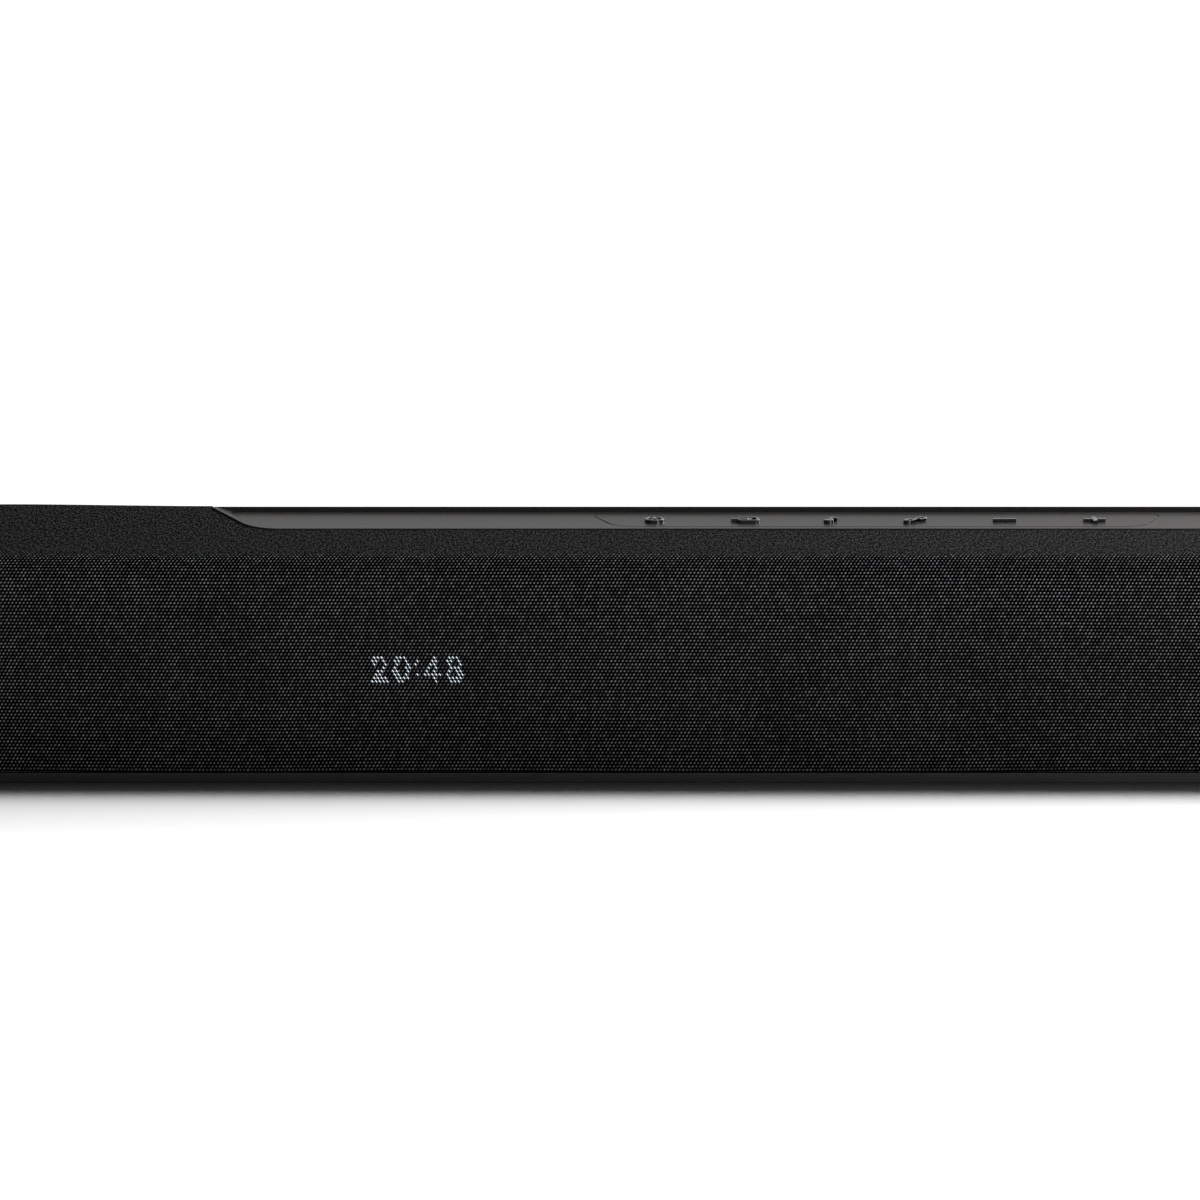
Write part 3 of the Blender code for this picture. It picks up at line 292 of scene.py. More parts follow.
def make_world():
    """White behind the object; soft light that comes from above and behind, and little from the front."""
    world = bpy.data.worlds.new("studio")
    bpy.context.scene.world = world
    world.use_nodes = True
    tree = world.node_tree
    tree.nodes.clear()
    output = tree.nodes.new("ShaderNodeOutputWorld")
    mix = tree.nodes.new("ShaderNodeMixShader")
    path = tree.nodes.new("ShaderNodeLightPath")
    seen = tree.nodes.new("ShaderNodeBackground")
    light = tree.nodes.new("ShaderNodeBackground")
    place = tree.nodes.new("ShaderNodeTexCoord")
    split = tree.nodes.new("ShaderNodeSeparateXYZ")
    ramp = tree.nodes.new("ShaderNodeMapRange")
    ramp.interpolation_type = "SMOOTHSTEP"
    for socket, value in (
        (seen.inputs["Color"], (1, 1, 1, 1)),
        (seen.inputs["Strength"], WORLD_SEEN),
        (light.inputs["Color"], (1, 1, 1, 1)),
        (ramp.inputs["From Min"], WORLD_TURN[0]),
        (ramp.inputs["From Max"], WORLD_TURN[1]),
        (ramp.inputs["To Min"], WORLD_FRONT),
        (ramp.inputs["To Max"], WORLD_REAR),
    ):
        socket.default_value = value
    for start, end in (
        (place.outputs["Generated"], split.inputs["Vector"]),
        (split.outputs["Y"], ramp.inputs["Value"]),
        (ramp.outputs["Result"], light.inputs["Strength"]),
        (path.outputs["Is Camera Ray"], mix.inputs["Fac"]),
        (light.outputs["Background"], mix.inputs[1]),
        (seen.outputs["Background"], mix.inputs[2]),
        (mix.outputs["Shader"], output.inputs["Surface"]),
    ):
        tree.links.new(start, end)


def make_lamp(name, location, aim, size, power):
    data = bpy.data.lights.new(name, "AREA")
    data.shape = "RECTANGLE"
    data.size, data.size_y = size
    data.energy = power
    lamp = add(name, data)
    lamp.location = location
    direction = Vector(aim) - Vector(location)
    lamp.rotation_euler = direction.to_track_quat("-Z", "Y").to_euler()
    lamp.visible_camera = False


# ---------------------------------------------------------------- node helpers

class Nodes:
    """A material whose shader nodes are added and linked in one call each."""

    def __init__(self, name, roughness, metallic=0.0, colour=(0.02, 0.02, 0.02)):
        self.material = bpy.data.materials.new(name)
        self.material.use_nodes = True
        self.tree = self.material.node_tree
        self.shader = self.tree.nodes["Principled BSDF"]
        self.set("Roughness", roughness)
        self.set("Metallic", metallic)
        self.set("Base Color", (*colour, 1))
        self.material.diffuse_color = (*colour, 1)

    def set(self, socket, value):
        self.shader.inputs[socket].default_value = value

    def feed(self, socket, output):
        self.tree.links.new(output, self.shader.inputs[socket])

    def node(self, kind, settings=None, **inputs):
        """A node, with its inputs named, or numbered as in i0; a value is a constant or a socket to link."""
        node = self.tree.nodes.new(kind)
        for key, value in (settings or {}).items():
            setattr(node, key, value)
        for key, value in inputs.items():
            socket = node.inputs[int(key[1:])] if key[1:].isdigit() else node.inputs[key.replace("_", " ")]
            if isinstance(value, bpy.types.NodeSocket):
                self.tree.links.new(value, socket)
            else:
                socket.default_value = value
        return node

    def operate(self, kind, operation, values):
        inputs = {f"i{index}": value for index, value in enumerate(values)}
        return self.node(kind, {"operation": operation}, **inputs)

    def math(self, operation, *values):
        return self.operate("ShaderNodeMath", operation, values).outputs["Value"]

    def vector(self, operation, *values, output="Vector"):
        return self.operate("ShaderNodeVectorMath", operation, values).outputs[output]

    def split(self, vector):
        """The X, Y and Z outputs of a vector, by name."""
        return self.node("ShaderNodeSeparateXYZ", Vector=vector).outputs

    def ramp(self, value, low, high, to_low=0.0, to_high=1.0, smooth=False):
        kind = {"interpolation_type": "SMOOTHSTEP" if smooth else "LINEAR"}
        return self.node(
            "ShaderNodeMapRange", kind,
            Value=value, From_Min=low, From_Max=high, To_Min=to_low, To_Max=to_high,
        ).outputs["Result"]

    def noise(self, scale, detail=2.0):
        return self.texture(self.place(), scale, detail)["Fac"]

    def texture(self, vector, scale, detail):
        return self.node("ShaderNodeTexNoise", Vector=vector, Scale=scale, Detail=detail).outputs

    def place(self):
        return self.node("ShaderNodeTexCoord").outputs["Object"]

    def mix(self, factor, first, second):
        """A number between two numbers or number sockets."""
        return self.node("ShaderNodeMix", {"data_type": "FLOAT"}, i0=factor, i2=first, i3=second).outputs[0]

    def blend(self, factor, first, second):
        """A colour between two colours or colour sockets."""
        node = self.node("ShaderNodeMix", {"data_type": "RGBA"})
        for index, value in ((0, factor), (6, first), (7, second)):
            if isinstance(value, bpy.types.NodeSocket):
                self.tree.links.new(value, node.inputs[index])
            else:
                node.inputs[index].default_value = value if index == 0 else (*value, 1)
        return node.outputs[2]

    def bump(self, height, distance, strength):
        node = self.node("ShaderNodeBump", Height=height, Distance=distance, Strength=strength)
        self.feed("Normal", node.outputs["Normal"])


# ---------------------------------------------------------------- materials

def cloth_material():
    """Black yarn in a staggered lattice of small raised knots, each a little lighter or darker than the next, their
    light cores a painted highlight; above the crease, stray fibres with a painted sheen.
    """
    m = Nodes("acoustic_cloth", 0.85)
    m.set("IOR", 1.05)
    # the rows and columns wander slowly, and every second row is half a column across
    place = m.node("ShaderNodeUVMap", {"uv_map": "weave"}).outputs["UV"]
    drift = m.texture(place, 9.0, 1.0)["Color"]
    moved = m.split(m.vector("MULTIPLY_ADD", drift, (WEAVE_WANDER,) * 3, place))
    row = m.math("DIVIDE", moved["Y"], WEAVE_ROW)
    row_number = m.math("FLOOR", row)
    stagger = m.math("MULTIPLY", m.math("MODULO", row_number, 2.0), 0.5)
    column = m.math("ADD", m.math("DIVIDE", moved["X"], WEAVE_PITCH), stagger)
    across = m.math("SUBTRACT", m.math("FRACT", column), 0.5)
    up = m.math("SUBTRACT", m.math("FRACT", row), 0.5)
    # a knot is a leaning ellipse, its painted highlight fading from its core to its edge
    lean = m.math("MULTIPLY_ADD", up, KNOT_LEAN, across)
    wide = m.math("POWER", m.math("ABSOLUTE", m.math("DIVIDE", lean, KNOT_WIDE)), 2.0)
    tall = m.math("POWER", m.math("ABSOLUTE", m.math("DIVIDE", up, KNOT_TALL)), 2.0)
    knot = m.ramp(m.math("SQRT", m.math("ADD", wide, tall)), KNOT_EDGE, KNOT_CORE, smooth=True)
    # each has a lightness of its own, from 0.55 to 1.45, and wider patches differ by 0.13 either way
    cell = m.node("ShaderNodeCombineXYZ", X=m.math("FLOOR", column), Y=row_number)
    chance = m.node("ShaderNodeTexWhiteNoise", {"noise_dimensions": "2D"}, Vector=cell.outputs[0])
    light = m.math("MULTIPLY_ADD", m.math("POWER", chance.outputs["Value"], 2.0), 0.9, 0.55)
    patch = m.ramp(m.noise(55.0), 0.3, 0.7, 0.87, 1.13)
    yarn = m.math("MULTIPLY", m.math("MULTIPLY", knot, light), patch)
    # above the crease the weave gives way to stray fibres, coloured apart from the front as a painted sheen of the
    # light from above
    stretch = m.node("ShaderNodeMapping", Vector=place, Scale=FIBRE_STRETCH).outputs[0]
    tuft = m.ramp(m.texture(stretch, 1.0, 1.0)["Fac"], 0.42, 0.63, 0.0, 0.25)
    fibre_and_sheen = m.math("MULTIPLY", tuft, m.math("MULTIPLY_ADD", knot, 1.2, 0.4))
    over = m.ramp(moved["Y"], CREASE_HEIGHT - 2.5 * MM, CREASE_HEIGHT + 1 * MM, smooth=True)
    m.feed("Base Color", m.blend(m.mix(over, yarn, fibre_and_sheen), CLOTH_HOLE, CLOTH_HIGHLIGHT_COLOUR))
    m.bump(knot, 0.1 * MM, 0.5)
    return m.material


def hem_material():
    """The folded edge of the cloth, where the weave is pulled tight and dark."""
    m = Nodes("cloth_hem", 0.8)
    m.set("IOR", 1.05)
    speck = m.ramp(m.noise(1900.0, 1.0), 0.4, 0.64)
    m.feed("Base Color", m.blend(speck, (0.002, 0.002, 0.002), (0.03, 0.03, 0.03)))
    m.bump(speck, 0.1 * MM, 0.6)
    return m.material


def moulded_material(name, colour, roughness):
    """Injection-moulded plastic with a fine spark-eroded grain."""
    m = Nodes(name, roughness, colour=colour)
    fine = m.noise(1530.0, 3.0)
    broad = m.noise(22.0)
    dark, bright = (tuple(channel * share for channel in colour) for share in (0.82, 1.18))
    m.feed("Base Color", m.blend(m.ramp(broad, 0.3, 0.7), dark, bright))
    m.feed("Roughness", m.ramp(m.math("ADD", fine, broad), 0.6, 1.4, roughness - 0.06, roughness + 0.08))
    m.bump(fine, 0.02 * MM, 0.5)
    return m.material


def speckled_material(name, colour, other, scale, roughness, metallic):
    """Two close colours in a fine grain, for boards, ferrite, paper pulp, plated steel and rubber."""
    m = Nodes(name, roughness, metallic, colour)
    grain = m.noise(scale, 3.0)
    m.feed("Base Color", m.blend(m.ramp(grain, 0.35, 0.65), colour, other))
    m.feed("Roughness", m.ramp(grain, 0.3, 0.7, roughness - 0.05, min(1.0, roughness + 0.1)))
    m.bump(grain, 0.02 * MM, 0.4)
    return m.material


def panel_material():
    """Warm grey satin paint with a fine metal flake, a painted highlight on the rim, black painted shade and dark
    reflection on upright sides, and a black shelf.
    """
    m = Nodes("panel_paint", 0.3)
    m.set("Specular IOR Level", 0.74)
    m.set("Specular Tint", (1, 0.94, 0.92, 1))
    flake = m.noise(5200.0)
    cloud = m.noise(14.0)
    mixed = m.math("MULTIPLY_ADD", flake, 0.35, m.math("MULTIPLY", cloud, 0.65))
    grey = m.blend(m.ramp(mixed, 0.3, 0.7), (0.0235, 0.0222, 0.0212), (0.0335, 0.0318, 0.0302))
    place = m.split(m.place())
    facing = m.split(m.node("ShaderNodeTexCoord").outputs["Normal"])
    depth = m.math("SUBTRACT", place["Y"], FRONT)
    plane = m.math("MULTIPLY_ADD", depth, math.tan(PANEL_SLOPE), panel_height(0))
    # a painted highlight: the rim, where the tray stands above the panel's plane, is a lighter grey
    rim = m.ramp(m.math("SUBTRACT", place["Z"], plane), 0.04 * MM, 0.2 * MM)
    shelf = m.math(
        "MULTIPLY",
        m.ramp(depth, LIP_DEPTH - 0.25 * MM, LIP_DEPTH - 0.05 * MM),
        m.ramp(m.math("ABSOLUTE", place["X"]), TRAY_HALF_BACK - 1 * MM, TRAY_HALF_BACK - 4 * MM),
    )
    # painted shade and dark reflection: faces that tilt away from level go black and rough, and the shelf behind the
    # lip is black too
    black = m.math("MAXIMUM", m.ramp(facing["Z"], 0.82, 0.55), shelf)
    painted = m.blend(rim, grey, (RIM_HIGHLIGHT,) * 3)
    m.feed("Base Color", m.blend(black, painted, (0.002, 0.002, 0.002)))
    m.feed("Roughness", m.mix(black, m.ramp(cloud, 0.3, 0.7, 0.21, 0.28), 0.9))
    m.bump(flake, 0.003 * MM, 0.3)
    return m.material


def key_top_material():
    """The bright upper face of a raised symbol."""
    m = Nodes("key_top", 0.25, metallic=1.0, colour=(0.5, 0.5, 0.51))
    m.feed("Roughness", m.ramp(m.noise(700.0), 0.3, 0.7, 0.2, 0.32))
    return m.material


def key_side_shade_material():
    """The glossy flank of a raised symbol, painted black as the shade on its sides."""
    m = Nodes("key_side", 0.2, colour=(0.004, 0.004, 0.004))
    m.feed("Roughness", m.ramp(m.noise(900.0), 0.3, 0.7, 0.15, 0.3))
    return m.material


def lit_material():
    """The readout's cool white light."""
    m = Nodes("readout_light", 0.5, colour=(0.4, 0.45, 0.5))
    m.set("Emission Color", (0.78, 0.9, 1.0, 1))
    m.set("Emission Strength", 0.85)
    return m.material


# ---------------------------------------------------------------- outlines

def rounded(corners, step=15, pieces=None):
    """A closed outline from (x, y, radius) corners, each drawn as an arc in steps of degrees or in so many pieces."""
    outline = []
    for index, (x, y, radius) in enumerate(corners):
        corner = Vector((x, y))
        if radius <= 0:
            outline.append(corner)
            continue
        before = (Vector(corners[index - 1][:2]) - corner).normalized()
        after = (Vector(corners[(index + 1) % len(corners)][:2]) - corner).normalized()
        half_angle = before.angle(after) / 2
        centre = corner + (before + after).normalized() * radius / math.sin(half_angle)
        start = corner + before * radius / math.tan(half_angle) - centre
        end = corner + after * radius / math.tan(half_angle) - centre
        sweep = start.angle_signed(end)
        count = pieces or max(2, round(abs(sweep) / math.radians(step)))
        for number in range(count + 1):
            outline.append(centre + Matrix.Rotation(-sweep * number / count, 2) @ start)
    return outline


def mirrored(half):
    """The corners of a right half and of its mirror image."""
    return half + [(-x, y, radius) for x, y, radius in half[::-1]]


def rectangle(width, height, radius=0.0, centre=(0.0, 0.0), turn=0.0):
    corners = []
    for across, up in ((-1, -1), (1, -1), (1, 1), (-1, 1)):
        corner = Matrix.Rotation(turn, 2) @ Vector((across * width / 2, up * height / 2))
        corners.append((corner.x + centre[0], corner.y + centre[1], radius))
    return rounded(corners)


def circle(radius, centre=(0.0, 0.0), segments=40):
    angles = [math.tau * number / segments for number in range(segments)]
    return [Vector((centre[0] + radius * math.cos(a), centre[1] + radius * math.sin(a))) for a in angles]


def arc(size, start, end, centre=(0.0, 0.0), count=24):
    """Points along part of an ellipse, from its two half sizes and its turns in degrees."""
    turns = [math.radians(start + (end - start) * number / count) for number in range(count + 1)]
    return [(centre[0] + size[0] * math.cos(a), centre[1] + size[1] * math.sin(a)) for a in turns]


def stroke(route, width):
    """The closed outline of a line of even width along an open route."""
    path = [Vector(point) for point in route]
    left = []
    right = []
    for index, point in enumerate(path):
        before = path[max(index - 1, 0)]
        after = path[min(index + 1, len(path) - 1)]
        along = (after - before).normalized()
        side = Vector((-along.y, along.x)) * width / 2
        left.append(point + side)
        right.append(point - side)
    return left + right[::-1]


def facet_height(depth):
    return CREASE_HEIGHT + depth * math.tan(FACET_SLOPE)


def panel_height(depth):
    return PANEL_HEIGHT + (depth - PANEL_DEPTH) * math.tan(PANEL_SLOPE)


def tray_outline(grow, back_edge):
    """The tray's outline, grown to its front and sides, with its straight sides drawn on to a depth."""
    return rounded(mirrored([
        (TRAY_HALF_FRONT + grow, FRONT + TRAY_FRONT - grow, TRAY_CORNER + grow),
        (TRAY_HALF_BACK + grow, FRONT + TRAY_BACK, 0),
        (TRAY_HALF_BACK + grow, FRONT + back_edge, 0),
    ]), 4)


def on_floor(depth):
    """A depth as a distance along the panel's slope, from the row of keys."""
    return (depth - KEY_ROW_DEPTH) / math.cos(PANEL_SLOPE)


def strip_outline(grow=0.0):
    return rounded(mirrored([
        (STRIP_HALF_FRONT + grow, on_floor(STRIP_FRONT) - grow, STRIP_FRONT_CORNER + grow),
        (STRIP_HALF_BACK + grow, on_floor(STRIP_BACK) + grow, STRIP_BACK_CORNER + grow),
    ]), 5)


# ---------------------------------------------------------------- meshes

# From a drawing in XY, about the row of keys, to its place on the panel's slope
PANEL_FRAME = Matrix.Translation((0, FRONT + KEY_ROW_DEPTH, panel_height(KEY_ROW_DEPTH))) @ Matrix.Rotation(
    PANEL_SLOPE, 4, "X"
)


def link(name, mesh, materials):
    for material in materials:
        mesh.materials.append(material)
    return add(name, mesh)


def smooth(mesh, angle):
    """Smooth shading, with creases at the edges sharper than an angle in degrees."""
    mesh.shade_smooth()
    mesh.set_sharp_from_angle(angle=math.radians(angle))


def mesh_of(shape, name):
    mesh = bpy.data.meshes.new(name)
    shape.to_mesh(mesh)
    shape.free()
    return mesh


def evaluated(piece):
    """A new mesh with the piece's modifiers applied, or drawn from its curve."""
    bpy.context.view_layer.update()
    return bpy.data.meshes.new_from_object(piece.evaluated_get(bpy.context.evaluated_depsgraph_get()))


def bake(piece):
    """Apply the piece's modifiers."""
    mesh = evaluated(piece)
    piece.modifiers.clear()
    piece.data = mesh


def lofted(name, loops, materials):
    """A closed solid through loops of equally many points."""
    shape = bmesh.new()
    rows = [[shape.verts.new(point) for point in loop] for loop in loops]
    count = len(rows[0])
    for low, high in zip(rows, rows[1:]):
        for index in range(count):
            after = (index + 1) % count
            shape.faces.new((low[index], low[after], high[after], high[index]))
    shape.faces.new(rows[0])
    shape.faces.new(rows[-1])
    bmesh.ops.recalc_face_normals(shape, faces=shape.faces)
    mesh = mesh_of(shape, name)
    smooth(mesh, 35)
    return link(name, mesh, materials)


def drawn(curve, routes, closed, lift=0.0):
    """The welded mesh of a curve along the routes."""
    for route in routes:
        spline = curve.splines.new("POLY")
        spline.points.add(len(route) - 1)
        for point, place in zip(spline.points, route):
            point.co = (*Vector(place).to_3d(), 1)
        spline.use_cyclic_u = closed
    drawing = add(curve.name, curve)
    mesh = evaluated(drawing)
    bpy.data.objects.remove(drawing, do_unlink=True)
    shape = bmesh.new()
    shape.from_mesh(mesh)
    bmesh.ops.remove_doubles(shape, verts=shape.verts, dist=WELD)
    bmesh.ops.translate(shape, verts=shape.verts, vec=(0, 0, lift))
    bmesh.ops.recalc_face_normals(shape, faces=shape.faces)
    shape.to_mesh(mesh)
    shape.free()
    mesh.materials.clear()
    return mesh


def extruded(name, outlines, low, high, materials, edge=0.0):
    """Flat outlines in XY made solid, with an optional small round on every edge."""
    curve = bpy.data.curves.new(name, "CURVE")
    curve.dimensions = "2D"
    curve.fill_mode = "BOTH"
    curve.extrude = (high - low) / 2 - edge
    curve.bevel_depth = edge
    curve.bevel_resolution = 2 if edge else 0
    curve.offset = -edge
    mesh = drawn(curve, outlines, True, (low + high) / 2)
    smooth(mesh, ROUND_CREASE)
    # the long thin triangles that fill a flat face would bend a smooth normal
    for polygon in mesh.polygons:
        if abs(polygon.normal.z) > LEVEL:
            polygon.use_smooth = False
    return link(name, mesh, materials)


def cut(piece, cutter):
    modifier = piece.modifiers.new("cut", "BOOLEAN")
    modifier.operation = "DIFFERENCE"
    modifier.solver = "EXACT"
    modifier.object = cutter
    bake(piece)
    bpy.data.objects.remove(cutter, do_unlink=True)


def round_edges(piece, width, angle):
    """A small round on the edges that are sharper than an angle in degrees."""
    modifier = piece.modifiers.new("edge", "BEVEL")
    modifier.width = width
    modifier.segments = 2
    modifier.limit_method = "ANGLE"
    modifier.angle_limit = math.radians(angle)


# ---------------------------------------------------------------- cloth

def cloth_path():
    """(depth, height) along the cloth, from its bottom hem up the face, over the crease and the ridge."""
    outline = rounded([
        (0, CLOTH_LOW.z, 0),
        (0, facet_height(0), CREASE_RADIUS),
        (RIDGE_DEPTH, facet_height(RIDGE_DEPTH), RIDGE_RADIUS),
        (RIDGE_DEPTH, RIDGE_END, 0),
    ], 4)
    path = [outline[0]]
    for point in outline[1:]:
        start = path[-1]
        pieces = max(1, round((point - start).length / CLOTH_STEP))
        for number in range(1, pieces + 1):
            path.append(start.lerp(point, number / pieces))
    return path


def cloth_height(depth):
    """Height of the cloth's outer face on the facet and on the roll over the ridge."""
    centre = RIDGE_DEPTH - RIDGE_RADIUS
    if depth < centre - RIDGE_RADIUS * math.sin(FACET_SLOPE):
        return facet_height(depth)
    return CLOTH_HIGH.z - RIDGE_RADIUS + math.sqrt(RIDGE_RADIUS ** 2 - (depth - centre) ** 2)


def dip(x, height):
    """How far the ridge sags beside the key panel, where the cloth is cut away."""
    reach = (abs(x) - TRAY_HALF_BACK) / RIDGE_DIP_REACH
    near = max(0.0, 1 - max(reach, 0.0))
    rise = max(0.0, height - CREASE_HEIGHT) / (CLOTH_HIGH.z - CREASE_HEIGHT)
    return RIDGE_DIP * near * near * (3 - 2 * near) * rise


def make_cloth(cloth, hem):
    path = cloth_path()
    lengths = [0.0]
    for before, after in zip(path, path[1:]):
        lengths.append(lengths[-1] + (after - before).length)
    half = CLOTH_HIGH.x
    shape = bmesh.new()
    layer = shape.loops.layers.uv.new("weave")
    rows = []
    for point in path:
        row = []
        for number in range(CLOTH_COLUMNS + 1):
            x = -half + 2 * half * number / CLOTH_COLUMNS
            row.append(shape.verts.new((x, FRONT + point.x, point.y)))
        rows.append(row)
    for low, high in zip(rows, rows[1:]):
        for index in range(CLOTH_COLUMNS):
            shape.faces.new((low[index], low[index + 1], high[index + 1], high[index]))
    where = {vert: lengths[number] for number, row in enumerate(rows) for vert in row}
    for face in shape.faces:
        for loop in face.loops:
            loop[layer].uv = (loop.vert.co.x, where[loop.vert])
    sheet = link("grille_cloth", mesh_of(shape, "grille_cloth"), [cloth])
    solid = sheet.modifiers.new("thickness", "SOLIDIFY")
    solid.thickness = CLOTH_THICKNESS
    solid.offset = -1
    bake(sheet)
    opening = tray_outline(HEM_RADIUS + HEM_GAP, RIDGE_DEPTH + 5 * MM)
    loops = [[(p.x, p.y, z) for p in opening] for z in (CREASE_HEIGHT + 2 * MM, 80 * MM)]
    cut(sheet, lofted("opening", loops, []))
    for vert in sheet.data.vertices:
        vert.co.z -= dip(vert.co.x, vert.co.z)
    smooth(sheet.data, 50)
    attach(sheet, CASE)
    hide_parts("grille_fabric")
    fold = make_hem(hem)


def make_hem(material):
    """The cloth's edge, folded into a narrow roll round the key panel."""
    outline = tray_outline(HEM_RADIUS + HEM_GAP, HEM_END)
    # the roll is open at the back, so its route starts and ends at the outline's back corners
    start = next(index for index, point in enumerate(outline) if point.y > FRONT + HEM_END - WELD)
    order = outline[start + 1:] + outline[:start + 1]
    route = []
    for before, after in zip(order, order[1:]):
        steps = max(1, round((after - before).length / HEM_STEP))
        for number in range(steps + (after is order[-1])):
            point = before.lerp(after, number / steps)
            height = cloth_height(point.y - FRONT) - HEM_RADIUS * HEM_SINK
            route.append(Vector((point.x, point.y, height - dip(point.x, height))))
    curve = bpy.data.curves.new("cloth_hem", "CURVE")
    curve.dimensions = "3D"
    curve.bevel_depth = HEM_RADIUS
    curve.bevel_resolution = 3
    curve.use_fill_caps = True
    mesh = drawn(curve, [route], False)
    smooth(mesh, 60)
    hem = link("cloth_hem", mesh, [material])
    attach(hem, CASE)
    return hem


# ---------------------------------------------------------------- key panel

def right_half(front, back, front_corner, back_corner, half_front, bend, half_back):
    """One side of a tray outline: the middle of its front edge, round both corners, to the middle of its back."""
    return rounded([
        (0, front, 0), (half_front, front, front_corner), (*bend, 0), (half_back, back, back_corner), (0, back, 0),
    ], pieces=TRAY_PIECES)


def whole(half):
    """A closed loop from its right half."""
    return half + [Vector((-point.x, point.y)) for point in half[-2:0:-1]]


def make_tray(paint):
    """The tray round the strip, lofted up its outer wall, across its rim and down to its sloping floor."""
    outer = right_half(
        TRAY_FRONT, RIDGE_DEPTH, TRAY_CORNER, TRAY_BACK_CORNER,
        TRAY_HALF_FRONT, (TRAY_HALF_BACK, TRAY_BACK), TRAY_HALF_BACK,
    )
    lip = right_half(
        TRAY_FRONT + RIM_LAND, LIP_DEPTH, TRAY_CORNER - RIM_LAND, LIP_CORNER,
        TRAY_HALF_FRONT - RIM_LAND, (TRAY_HALF_BACK - RIM_LAND, TRAY_BACK), TRAY_HALF_BACK - RIM_LAND,
    )
    floor = right_half(
        FLOOR_FRONT, FLOOR_BACK, FLOOR_FRONT_CORNER, FLOOR_BACK_CORNER,
        FLOOR_HALF_FRONT, ((FLOOR_HALF_FRONT + FLOOR_HALF_BACK) / 2, (FLOOR_FRONT + FLOOR_BACK) / 2), FLOOR_HALF_BACK,
    )
    low = panel_height(TRAY_FRONT) - PANEL_THICKNESS

    def placed(half, height):
        return [(p.x, FRONT + p.y, height(p.y)) for p in whole(half)]

    def rim(depth):
        return min(facet_height(depth), SHELF_HEIGHT)

    # at the back the lip rises to the height of the shelf behind it
    lip_points = []
    for x, y, z in placed(lip, rim):
        near = max(0.0, 1 - (FRONT + LIP_DEPTH - y) / LIP_RISE)
        lip_points.append((x, y, z + (SHELF_HEIGHT - z) * near))
    tray = lofted(
        "key_panel",
        [placed(outer, lambda depth: low), placed(outer, rim), lip_points, placed(floor, panel_height)],
        [paint],
    )
    mouth = extruded("mouth", [strip_outline(STRIP_GAP)], -10 * MM, 10 * MM, [])
    mouth.data.transform(PANEL_FRAME)
    cut(tray, mouth)
    round_edges(tray, TRAY_EDGE, 25)
    bake(tray)
    smooth(tray.data, 8)
    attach(tray, CASE)
    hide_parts("control_tray")


def power_symbol():
    """An open ring with an upright bar in its gap."""
    radius = 2.4 * MM - KEY_LINE / 2
    gap = 32
    ring = arc((radius, radius), 90 + gap, 450 - gap)
    return [stroke(ring, KEY_LINE), rectangle(KEY_LINE, 2.7 * MM, 0, (0, 1.15 * MM))]


def source_symbol():
    """A frame, open at its left, with an arrow into it."""
    inset = KEY_LINE / 2
    corner = 0.8 * MM
    mouth = 1.25 * MM
    left = 0.7 * MM - 2.7 * MM + inset
    right = 0.7 * MM + 2.7 * MM - inset - corner
    top = 2.2 * MM - inset - corner
    frame_route = [(left, mouth)]
    for start, centre in (
        (180, (left + corner, top)), (90, (right, top)), (0, (right, -top)), (-90, (left + corner, -top)),
    ):
        frame_route += arc((corner, corner), start, start - 90, centre, 6)
    frame_route.append((left, -mouth))
    tip, head, tail = 1.6 * MM, 1.15 * MM, -3.4 * MM
    arrow = [
        (tail, -inset), (tip - head, -inset), (tip - head, -head), (tip, 0),
        (tip - head, head), (tip - head, inset), (tail, inset),
    ]
    return [stroke(frame_route, KEY_LINE), arrow]


def music_symbol():
    """A stem with a flag, and an oval head at its foot."""
    left, right = 0.1 * MM - 0.38 * MM, 0.1 * MM + 0.38 * MM
    top = 2.4 * MM
    flag = 1.5 * MM
    stem = [
        (left, -1.1 * MM), (right, -1.1 * MM), (right, 1.2 * MM), (flag, 0.5 * MM), (flag, 1.5 * MM),
        (right, top), (left, top),
    ]
    head = [Vector((p.x * 1.15, p.y)) for p in circle(1.05 * MM, (-0.55 * MM, -1.3 * MM), 24)]
    return [stem, head]


def link_symbol():
    """Two open hooks and the bar between them, all leaning."""
    reach = 1.05 * MM
    radius = 0.85 * MM
    outlines = []
    for side in (-1, 1):
        middle = side * 1.35 * MM
        end = middle - side * reach * 0.75
        hook = [(end, radius)]
        for turn in range(0, 181, 15):
            angle = math.radians(turn)
            hook.append((middle + side * (reach + radius * math.sin(angle)), radius * math.cos(angle)))
        hook.append((end, -radius))
        outlines.append(stroke(hook, LINK_LINE))
    outlines.append(rectangle(2.1 * MM, 0.55 * MM))
    return [[Matrix.Rotation(LINK_LEAN, 2) @ point for point in outline] for outline in outlines]


def plus_outline(width, height, thick, grow=0.0):
    x, y, t = width / 2 + grow, height / 2 + grow, thick / 2 + grow
    half = [(t, -y), (t, -t), (x, -t), (x, t), (t, t), (t, y)]
    return half + [(-px, -py) for px, py in half]


